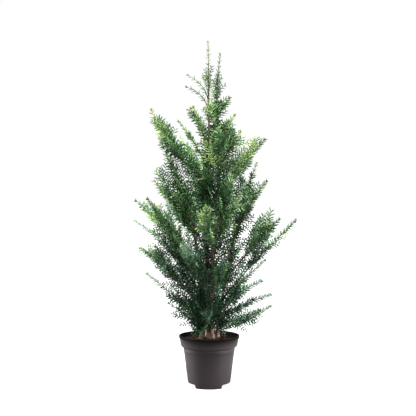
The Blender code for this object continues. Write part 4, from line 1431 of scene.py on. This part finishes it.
def bark_noise(way, point, round_limb, across, along):
    return noise.noise(way * round_limb + Vector((point.x * across, point.y * across, point.z * along)))


def bark_relief(points, sides):
    """How far each corner of a bark tube stands from the plain radius: ridges and fine scales."""
    relief = np.ones((len(points), sides))
    for k, point in enumerate(points):
        for i in range(sides):
            turn = math.tau * i / sides
            way = Vector((math.cos(turn), math.sin(turn), 0))
            ridge = bark_noise(way, point, *RIDGE_NOISE)
            relief[k, i] += RIDGE_DEPTH * ridge + SCALE_DEPTH * bark_noise(way, point, *SCALE_NOISE)
    return relief


def bark_limb(name, node, place, ends, radius_at, length):
    """A limb's bare wood with relief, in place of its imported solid."""
    steps = max(FEWEST_RINGS, round((ends[1] - ends[0]) * length / BARK_STEP))
    shares = [between(*ends, i / steps) for i in range(steps + 1)]
    points = [place(share) for share in shares]
    radii = [radius_at(share) for share in shares]
    relief = bark_relief(points, BARK_SIDES)
    corners, faces = tube(points, radii, BARK_SIDES, BARK_REFERENCE, relief)
    piece = add_piece(name, corners, faces, [BARK], smooth=True)
    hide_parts(node)
    return len(faces)


print("sides of a bark tube:", BARK_SIDES)

# %% Bark of stems and boughs
BOUGH_ROOT_RADIUS = 0.0036


def stem_bark(stem):
    """A stem's wood from just under the soil up to where its leafy top starts."""
    ends = (-FOOT_SUNK / stem_length(stem), stem.wood)
    place = lambda share: stem_point(stem, share)
    radius_at = lambda share: stem_radius(stem, share)
    return bark_limb("bark_" + stem.name, "stem_" + stem.name, place, ends, radius_at, stem_length(stem))


def bough_bark(branch):
    """A bough's wood from its stem out to where its leafy part starts."""
    place = lambda share: branch_point(branch, share)
    radius_at = lambda share: between(BOUGH_ROOT_RADIUS, TWIG_ROOT_RADIUS, share / BOUGH_SHARE)
    name, ends = branch.name, (0, BOUGH_SHARE)
    return bark_limb("bark_bough_" + name, "bough_" + name, place, ends, radius_at, branch_length(branch))


bark_faces = sum(stem_bark(stem) for stem in STEMS)
bark_faces += sum(bough_bark(branch) for branch in BRANCHES if branch.main)
print("bark triangles:", bark_faces)

# %% [markdown]
# ## The pot
# The pot is blown or moulded thin plastic: a rolled lip, a tapered collar, a faint bead under it, a
# faint step lower down, a smooth wall and a foot with three notches for water. It is turned from a
# profile with a Screw modifier, with the corners of the profile rounded first, since light on satin
# plastic shows its corners. The notches are cut by wedges of a ring.

# %% Pot profile
POT_HEIGHT = 0.171
RIM_RADIUS = 0.103
LIP_DEPTH = 0.008
COLLAR_TOP_RADIUS = 0.1008
COLLAR_FOOT_RADIUS = 0.0965
COLLAR_FOOT_HEIGHT = 0.1365
SHOULDER_RADIUS = 0.0872
SHOULDER_HEIGHT = 0.1275
RIDGE_HEIGHT = 0.117
RIDGE_STEP = 0.0014
WALL_FOOT_RADIUS = 0.0735
WALL_FOOT_HEIGHT = 0.020
FOOT_RADIUS = 0.0702
SKIRT = 0.003
WALL = 0.0020
FLOOR_HEIGHT = 0.008
FLOOR_THICKNESS = 0.0022
BOSS_RADIUS = 0.022
BEAD = 0.0005
LIP_EDGE = 0.0012
STEP_WALL = 0.05
# How much the corners outside, underneath and inside are rounded.
ROUND_OUTSIDE = 0.0016
ROUND_UNDER = 0.0006
ROUND_INSIDE = 0.002
MOST_ROUNDED = 0.45


def rounded(profile, radius, steps=4):
    """A profile with each inner corner replaced by a short arc."""
    made = [profile[0]]
    for before, corner, after in zip(profile, profile[1:], profile[2:]):
        before, corner, after = Vector(before), Vector(corner), Vector(after)
        sides = (before - corner).length, (after - corner).length
        reach = min(radius, sides[0] * MOST_ROUNDED, sides[1] * MOST_ROUNDED)
        start = corner + (before - corner).normalized() * reach
        end = corner + (after - corner).normalized() * reach
        for i in range(steps + 1):
            t = i / steps
            made.append(tuple(start * (1 - t) ** 2 + corner * (2 * t * (1 - t)) + end * t ** 2))
    return made + [profile[-1]]


def pot_outside():
    """The outer wall from the top of the lip down to the foot."""
    wall_slope = (SHOULDER_RADIUS - RIDGE_STEP - WALL_FOOT_RADIUS) / (RIDGE_HEIGHT - WALL_FOOT_HEIGHT)
    ridge_foot = RIDGE_HEIGHT - RIDGE_STEP
    lip_foot = POT_HEIGHT - LIP_DEPTH
    step_radius = SHOULDER_RADIUS - RIDGE_STEP
    return [
        # The lip.
        (RIM_RADIUS - LIP_EDGE, POT_HEIGHT),
        (RIM_RADIUS, POT_HEIGHT - LIP_EDGE),
        (RIM_RADIUS, lip_foot),
        # The collar, from under the lip.
        (COLLAR_TOP_RADIUS, lip_foot - 0.0008),
        (COLLAR_FOOT_RADIUS + 0.0005, COLLAR_FOOT_HEIGHT + 0.003),
        (COLLAR_FOOT_RADIUS - 0.0010, COLLAR_FOOT_HEIGHT - 0.0015),
        # The shoulder and its bead.
        (SHOULDER_RADIUS + 0.0005, SHOULDER_HEIGHT + 0.0025),
        (SHOULDER_RADIUS + BEAD, SHOULDER_HEIGHT + 0.0005),
        (SHOULDER_RADIUS + BEAD, SHOULDER_HEIGHT - 0.0020),
        (SHOULDER_RADIUS, SHOULDER_HEIGHT - 0.0035),
        # The faint step, the wall and the foot.
        (SHOULDER_RADIUS - 0.0002, RIDGE_HEIGHT + RIDGE_STEP),
        (step_radius, ridge_foot),
        (step_radius - wall_slope * STEP_WALL, ridge_foot - STEP_WALL),
        (WALL_FOOT_RADIUS, WALL_FOOT_HEIGHT),
        (FOOT_RADIUS, 0),
    ]


def pot_inside():
    """The inner wall from the floor up to the lip."""
    return [
        (0, FLOOR_HEIGHT + FLOOR_THICKNESS),
        (WALL_FOOT_RADIUS - WALL - 0.002, FLOOR_HEIGHT + FLOOR_THICKNESS),
        (SHOULDER_RADIUS - WALL, SHOULDER_HEIGHT + WALL / 2),
        (COLLAR_FOOT_RADIUS - WALL, COLLAR_FOOT_HEIGHT + WALL / 2),
        (COLLAR_TOP_RADIUS - WALL, POT_HEIGHT),
    ]


POT_UNDER = [
    (FOOT_RADIUS, 0),
    (FOOT_RADIUS - SKIRT, 0),
    (FOOT_RADIUS - SKIRT, FLOOR_HEIGHT),
    (BOSS_RADIUS, FLOOR_HEIGHT),
    (BOSS_RADIUS, 0),
    (0, 0),
]
outside = rounded(pot_outside(), ROUND_OUTSIDE)
under = rounded(POT_UNDER, ROUND_UNDER, 2)
POT_PROFILE = outside + under[1:] + rounded(pot_inside(), ROUND_INSIDE) + [outside[0]]
print("corners in the pot's profile:", len(POT_PROFILE))

# %% Turn the pot
POT_SIDES = 144


def evaluated(obj):
    """The mesh of an object with its modifiers applied."""
    bpy.context.view_layer.update()
    graph = bpy.context.evaluated_depsgraph_get()
    return bpy.data.meshes.new_from_object(obj.evaluated_get(graph))


def turned(name, profile):
    """A closed turned solid from a profile of (radius, height)."""
    mesh = bpy.data.meshes.new(name)
    edges = [(i, i + 1) for i in range(len(profile) - 1)]
    mesh.from_pydata([(radius, 0, height) for radius, height in profile], edges, [])
    obj = placed(name, mesh)
    screw = obj.modifiers.new("turn", "SCREW")
    screw.steps = screw.render_steps = POT_SIDES
    screw.use_merge_vertices = True
    screw.merge_threshold = 0.00001
    solid = evaluated(obj)
    obj.modifiers.clear()
    obj.data = solid
    shape = bmesh.new()
    shape.from_mesh(solid)
    bmesh.ops.remove_doubles(shape, verts=shape.verts, dist=1e-6)
    bmesh.ops.recalc_face_normals(shape, faces=shape.faces)
    shape.to_mesh(solid)
    shape.free()
    return obj


pot = turned("pot_shell", POT_PROFILE)
print("pot faces before the notches:", len(pot.data.polygons))

# %% Cut the notches
NOTCHES = ((92.0, 46.0), (191.5, 76.0), (348.5, 84.0))
NOTCH_HEIGHT = 0.0125
NOTCH_DEPTH = 0.011
NOTCH_STEPS = 24
CUTTER_EXCESS = 0.005
# How wide a notch's rounded upper corners are, as a share of its arc, and how high its ends are, as
# a share of its height.
NOTCH_CORNER = 0.08
NOTCH_END = 0.72
SHARP_ANGLE = 35


def notch_cutter(azimuth, arc):
    """A wedge of a ring with rounded upper corners, seen from outside."""
    inner, outer = FOOT_RADIUS - NOTCH_DEPTH, WALL_FOOT_RADIUS + CUTTER_EXCESS
    shape = bmesh.new()
    rows = []
    for i in range(NOTCH_STEPS + 1):
        share = i / NOTCH_STEPS - 0.5
        turn = math.radians(azimuth + arc * share)
        edge = min(1.0, (0.5 - abs(share)) / NOTCH_CORNER)
        top = NOTCH_HEIGHT * (NOTCH_END + (1 - NOTCH_END) * math.sqrt(1 - (1 - edge) ** 2))
        heights = ((inner, -CUTTER_EXCESS), (outer, -CUTTER_EXCESS), (outer, top), (inner, top))
        rows.append([shape.verts.new((r * math.cos(turn), r * math.sin(turn), z)) for r, z in heights])
    for near, far in zip(rows, rows[1:]):
        for i in range(4):
            j = (i + 1) % 4
            shape.faces.new((near[i], near[j], far[j], far[i]))
    shape.faces.new(rows[0])
    shape.faces.new(rows[-1][::-1])
    bmesh.ops.recalc_face_normals(shape, faces=shape.faces)
    mesh = bpy.data.meshes.new("notch")
    shape.to_mesh(mesh)
    shape.free()
    return placed("notch", mesh)


for azimuth, arc in NOTCHES:
    cutter = notch_cutter(azimuth, arc)
    cut = pot.modifiers.new("notch", "BOOLEAN")
    cut.operation = "DIFFERENCE"
    cut.solver = "EXACT"
    cut.object = cutter
    pot.data = evaluated(pot)
    pot.modifiers.clear()
    bpy.data.objects.remove(cutter)
pot.data.shade_smooth()
pot.data.set_sharp_from_angle(angle=math.radians(SHARP_ANGLE))
print("pot faces with the notches:", len(pot.data.polygons))

# %% [markdown]
# ## Satin plastic
# Recycled nursery plastic is a warm dark grey, satin outside, with faint flow marks that run up
# the wall, fine grain, and a little dust from the soil on what faces up. Shade is painted into its
# colour: the wall is painted darker towards its top, the collar is painted dark under the lip and
# paler below, and the lip and the inside are painted black, so the pot has three finishes made by
# one function.

# %% Pot finish
# The plastic's own grey, a dark tone for flow marks that is also painted shade at the top of the wall, a
# painted shade black, a paler grey that is painted light low on the collar, and dust.
POT_GREY = (0.0225, 0.0165, 0.0185)
POT_FLOW_AND_SHADE_DARK = (0.008, 0.006, 0.007)
POT_SHADE_BLACK = (0.003, 0.002, 0.002)
POT_LIT_PALE = (0.034, 0.027, 0.030)
POT_DUST = (0.060, 0.048, 0.042)
# Heights, top first, over which the painted shade at the top of the wall and of the collar gives way to the
# tone below.
WALL_SHADE_HEIGHTS = (0.145, 0.085)
COLLAR_SHADE_HEIGHTS = (0.163, 0.142)


FLOW_MARKS = (22.0, 8.0, 1.2)
FLOW_COVER = (0.0, 0.12)
PLASTIC_GRAIN = (900.0, 1.0, 3.0)
PLASTIC_BUMP = (0.00012, 0.25)
SATIN_SPAN = 0.1


def pot_material(name, above, below, heights, dust, roughness, specular):
    """Plastic between two tones by height, painted shade above and a lighter tone below, with flow marks,
    fine grain and dust on what faces up.
    """
    made = node_material(name)
    tree = made[1]
    grain = blotches(tree, *PLASTIC_GRAIN)
    flow = ranged(tree, blotches(tree, *FLOW_MARKS), *FLOW_COVER)
    settled = effect(tree, DUST, Amount=dust, Breakup=grain)
    # Painted shade: darker towards the top, by height.
    tone = mixed(tree, height_mask(tree, *heights), above, below)
    colour = mixed(tree, flow, tone, POT_FLOW_AND_SHADE_DARK)
    satin = ranged(tree, grain, roughness, roughness + SATIN_SPAN)
    normal = bumped(tree, grain, *PLASTIC_BUMP)
    return finished(made, mixed(tree, settled, colour, POT_DUST), satin, specular, normal)


# Each finish: its upper and lower tone, the upper one painted shade, the heights between which one
# becomes the other, and its dust, roughness and specular level.
POT_FINISHES = {
    # The wall: painted shade darker at its top.
    "satin_plastic": (POT_FLOW_AND_SHADE_DARK, POT_GREY, WALL_SHADE_HEIGHTS, 0.5, 0.32, 0.30),
    # The collar: painted shade black under the lip, and a paler painted light grey below.
    "collar_plastic": (POT_SHADE_BLACK, POT_LIT_PALE, COLLAR_SHADE_HEIGHTS, 0.10, 0.30, 0.12),
    # The lip and the inside: painted shade black all over.
    "black_plastic": (POT_SHADE_BLACK, POT_SHADE_BLACK, COLLAR_SHADE_HEIGHTS, 0.05, 0.85, 0.05),
}
# Where each finish stands in the pot's list of materials.
SATIN, COLLAR, BLACK = range(3)
BLACK_ABOVE = POT_HEIGHT - LIP_DEPTH - 0.0005
COLLAR_ABOVE = SHOULDER_HEIGHT - 0.004


def finish_of(polygon):
    """Painted shade black for the lip and the whole inside, then the collar's own finish, and satin below.
    """
    inward = polygon.normal.x * polygon.center.x + polygon.normal.y * polygon.center.y < 0
    if inward or polygon.center.z > BLACK_ABOVE:
        return BLACK
    return COLLAR if polygon.center.z > COLLAR_ABOVE else SATIN


pot.data.materials.clear()
for name, values in POT_FINISHES.items():
    pot.data.materials.append(pot_material(name, *values))
for polygon in pot.data.polygons:
    polygon.material_index = finish_of(polygon)
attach(pot, "root")
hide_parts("pot")
print("pot dressed")

# %% [markdown]
# ## Potting soil
# The soil is a dark brown crumb of peat and bark, a little uneven, with splinters of bark lying on
# it. A polar grid gives the surface its lumps, closed underneath so that it stays solid, and the
# splinters are small cut blocks, joined into one piece.

# %% Soil surface
SOIL_RIM_DROP = 0.003
SOIL_GAP = 0.0005
SOIL_RINGS = 46
SOIL_SIDES = 150
LUMP = 0.0035
# The lumps of the surface: how fine each noise is, its seed and its weight.
SOIL_NOISES = ((55, 3, 1.0), (150, 7, 0.6), (420, 11, 0.35))
# The soil under its surface follows the pot's inside, by radius and height.
SOIL_BODY = (
    (COLLAR_FOOT_RADIUS, COLLAR_FOOT_HEIGHT),
    (SHOULDER_RADIUS, SHOULDER_HEIGHT),
    (WALL_FOOT_RADIUS - 0.002, FLOOR_HEIGHT + FLOOR_THICKNESS),
)


def soil_edge():
    """The soil's radius where it meets the pot's inner wall."""
    foot = COLLAR_FOOT_HEIGHT + WALL / 2
    up = (SOIL_HEIGHT - SOIL_RIM_DROP - foot) / (POT_HEIGHT - foot)
    return between(COLLAR_FOOT_RADIUS, COLLAR_TOP_RADIUS, up) - WALL - SOIL_GAP


def soil_top(x, y):
    """The height of the soil's uneven surface."""
    away = min(1, math.hypot(x, y) / soil_edge())
    lumps = 0
    for fine, seed, weight in SOIL_NOISES:
        lumps += weight * noise.noise(Vector((x * fine, y * fine, seed)))
    return SOIL_HEIGHT - SOIL_RIM_DROP * away ** 3 + LUMP * lumps * 0.5


def soil_ring(radius, height):
    """A ring of corners, each as high as a function of its place says."""
    turns = [math.tau * i / SOIL_SIDES for i in range(SOIL_SIDES)]
    spots = [(radius * math.cos(turn), radius * math.sin(turn)) for turn in turns]
    return [(x, y, height(x, y)) for x, y in spots]


def make_soil():
    """Rings over the surface from the middle out, then down the sides to a flat bottom."""
    edge = soil_edge()
    corners = []
    for k in range(1, SOIL_RINGS + 1):
        corners += soil_ring(edge * k / SOIL_RINGS, soil_top)
    for radius, height in SOIL_BODY:
        corners += soil_ring(radius - WALL - SOIL_GAP, lambda x, y: height + WALL / 2)
    corners += [(0, 0, soil_top(0, 0)), (0, 0, FLOOR_HEIGHT + FLOOR_THICKNESS + WALL / 2)]
    faces = ring_faces(SOIL_RINGS + len(SOIL_BODY), SOIL_SIDES)
    return np.array(corners), faces[:, ::-1]


print("soil radius:", round(soil_edge(), 4))

# %% Soil finish
SOIL_DARK = (0.006, 0.0035, 0.0025)
SOIL_BROWN = (0.024, 0.0125, 0.008)
CLODS = (180.0, 1.0, 4.0)
CRUMBS = (900.0, 1.0, 5.0)
SOIL_DUST = 0.35
SOIL_ROUGHNESS = (0.98, 0.85)
SOIL_BUMP = (0.001, 0.8)
SOIL_SPECULAR = 0.1


def soil_material():
    """Brown clods and dark gaps, with fine crumbs in relief."""
    made = node_material("potting_mix")
    tree = made[1]
    clods = blotches(tree, *CLODS)
    crumbs = blotches(tree, *CRUMBS)
    settled = effect(tree, DUST, Amount=SOIL_DUST, Breakup=crumbs)
    colour = mixed(tree, settled, mixed(tree, clods, SOIL_DARK, SOIL_BROWN), SOIL_BROWN)
    roughness = ranged(tree, clods, *SOIL_ROUGHNESS)
    return finished(made, colour, roughness, SOIL_SPECULAR, bumped(tree, crumbs, *SOIL_BUMP))


soil = add_piece("soil_surface", *make_soil(), [soil_material()], smooth=True)
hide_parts("soil")
print("soil triangles:", len(soil.data.polygons))

# %% Splinters of bark
SPLINTERS = 900
SPLINTER_COLOURS = {
    "splinter_orange": (0.120, 0.052, 0.022),
    "splinter_brown": (0.050, 0.026, 0.014),
    "splinter_dark": (0.022, 0.012, 0.008),
    "splinter_tan": (0.170, 0.100, 0.055),
}
SPLINTER_SHARES = (0.16, 0.38, 0.40, 0.06)
SPLINTER_GRAIN = (600.0, 1.0, 3.0)
SPLINTER_ROUGHNESS = (0.80, 0.98)
SPLINTER_BUMP = (0.0005, 0.6)
SPLINTER_LENGTHS = (0.002, 0.0065)
SPLINTER_LONGER = (1, 1, 1.6)
SPLINTER_WIDTHS = (0.3, 0.8)
SPLINTER_THICKNESSES = (0.0006, 0.0018)
CHIPPING = (-0.35, 0.2)
TILT_SPREAD = 0.3
LIFTED = 0.35
FREE_EDGE = 0.006
BLOCK_CORNERS = [(x, y, z) for z in (-1, 1) for x, y in ((-1, -1), (1, -1), (1, 1), (-1, 1))]
BLOCK_FACES = [(0, 2, 1), (0, 3, 2), (4, 5, 6), (4, 6, 7), (0, 1, 5), (0, 5, 4), (1, 2, 6), (1, 6, 5),
               (2, 3, 7), (2, 7, 6), (3, 0, 4), (3, 4, 7)]


def splinter(rng):
    """One cut block of bark lying on the soil at a random place and tilt."""
    away = (soil_edge() - FREE_EDGE) * math.sqrt(rng.random())
    turn = rng.uniform(0, math.tau)
    x, y = away * math.cos(turn), away * math.sin(turn)
    long = rng.uniform(*SPLINTER_LENGTHS) * rng.choice(SPLINTER_LONGER)
    wide = long * rng.uniform(*SPLINTER_WIDTHS)
    thick = rng.uniform(*SPLINTER_THICKNESSES)
    chipped = np.array([[rng.uniform(*CHIPPING) for _ in range(3)] for _ in BLOCK_CORNERS])
    corners = np.array(BLOCK_CORNERS) * (1 + chipped)
    corners = corners * np.array([long, wide, thick]) / 2
    yaw = rng.uniform(0, math.tau)
    pitch = rng.gauss(0, TILT_SPREAD)
    rise, fall = math.cos(pitch), math.sin(pitch)
    tilt = np.array([(rise, 0, fall), (0, 1, 0), (-fall, 0, rise)])
    spin = np.array([(math.cos(yaw), -math.sin(yaw), 0), (math.sin(yaw), math.cos(yaw), 0), (0, 0, 1)])
    return corners @ tilt.T @ spin.T + np.array((x, y, soil_top(x, y) + thick * LIFTED))


def splinter_material(name, colour):
    """A plain brown with a rough, broken grain."""
    made = node_material(name)
    grain = blotches(made[1], *SPLINTER_GRAIN)
    roughness = ranged(made[1], grain, *SPLINTER_ROUGHNESS)
    return finished(made, colour, roughness, SOIL_SPECULAR, bumped(made[1], grain, *SPLINTER_BUMP))


rng = random.Random("splinters")
blocks = [(splinter(rng), BLOCK_FACES) for _ in range(SPLINTERS)]
kinds = rng.choices(range(len(SPLINTER_COLOURS)), SPLINTER_SHARES, k=SPLINTERS)
finishes = [splinter_material(name, colour) for name, colour in SPLINTER_COLOURS.items()]
splinters = add_piece("bark_splinters", *stack(blocks), finishes, np.repeat(kinds, len(BLOCK_FACES)))
print("splinters:", SPLINTERS)
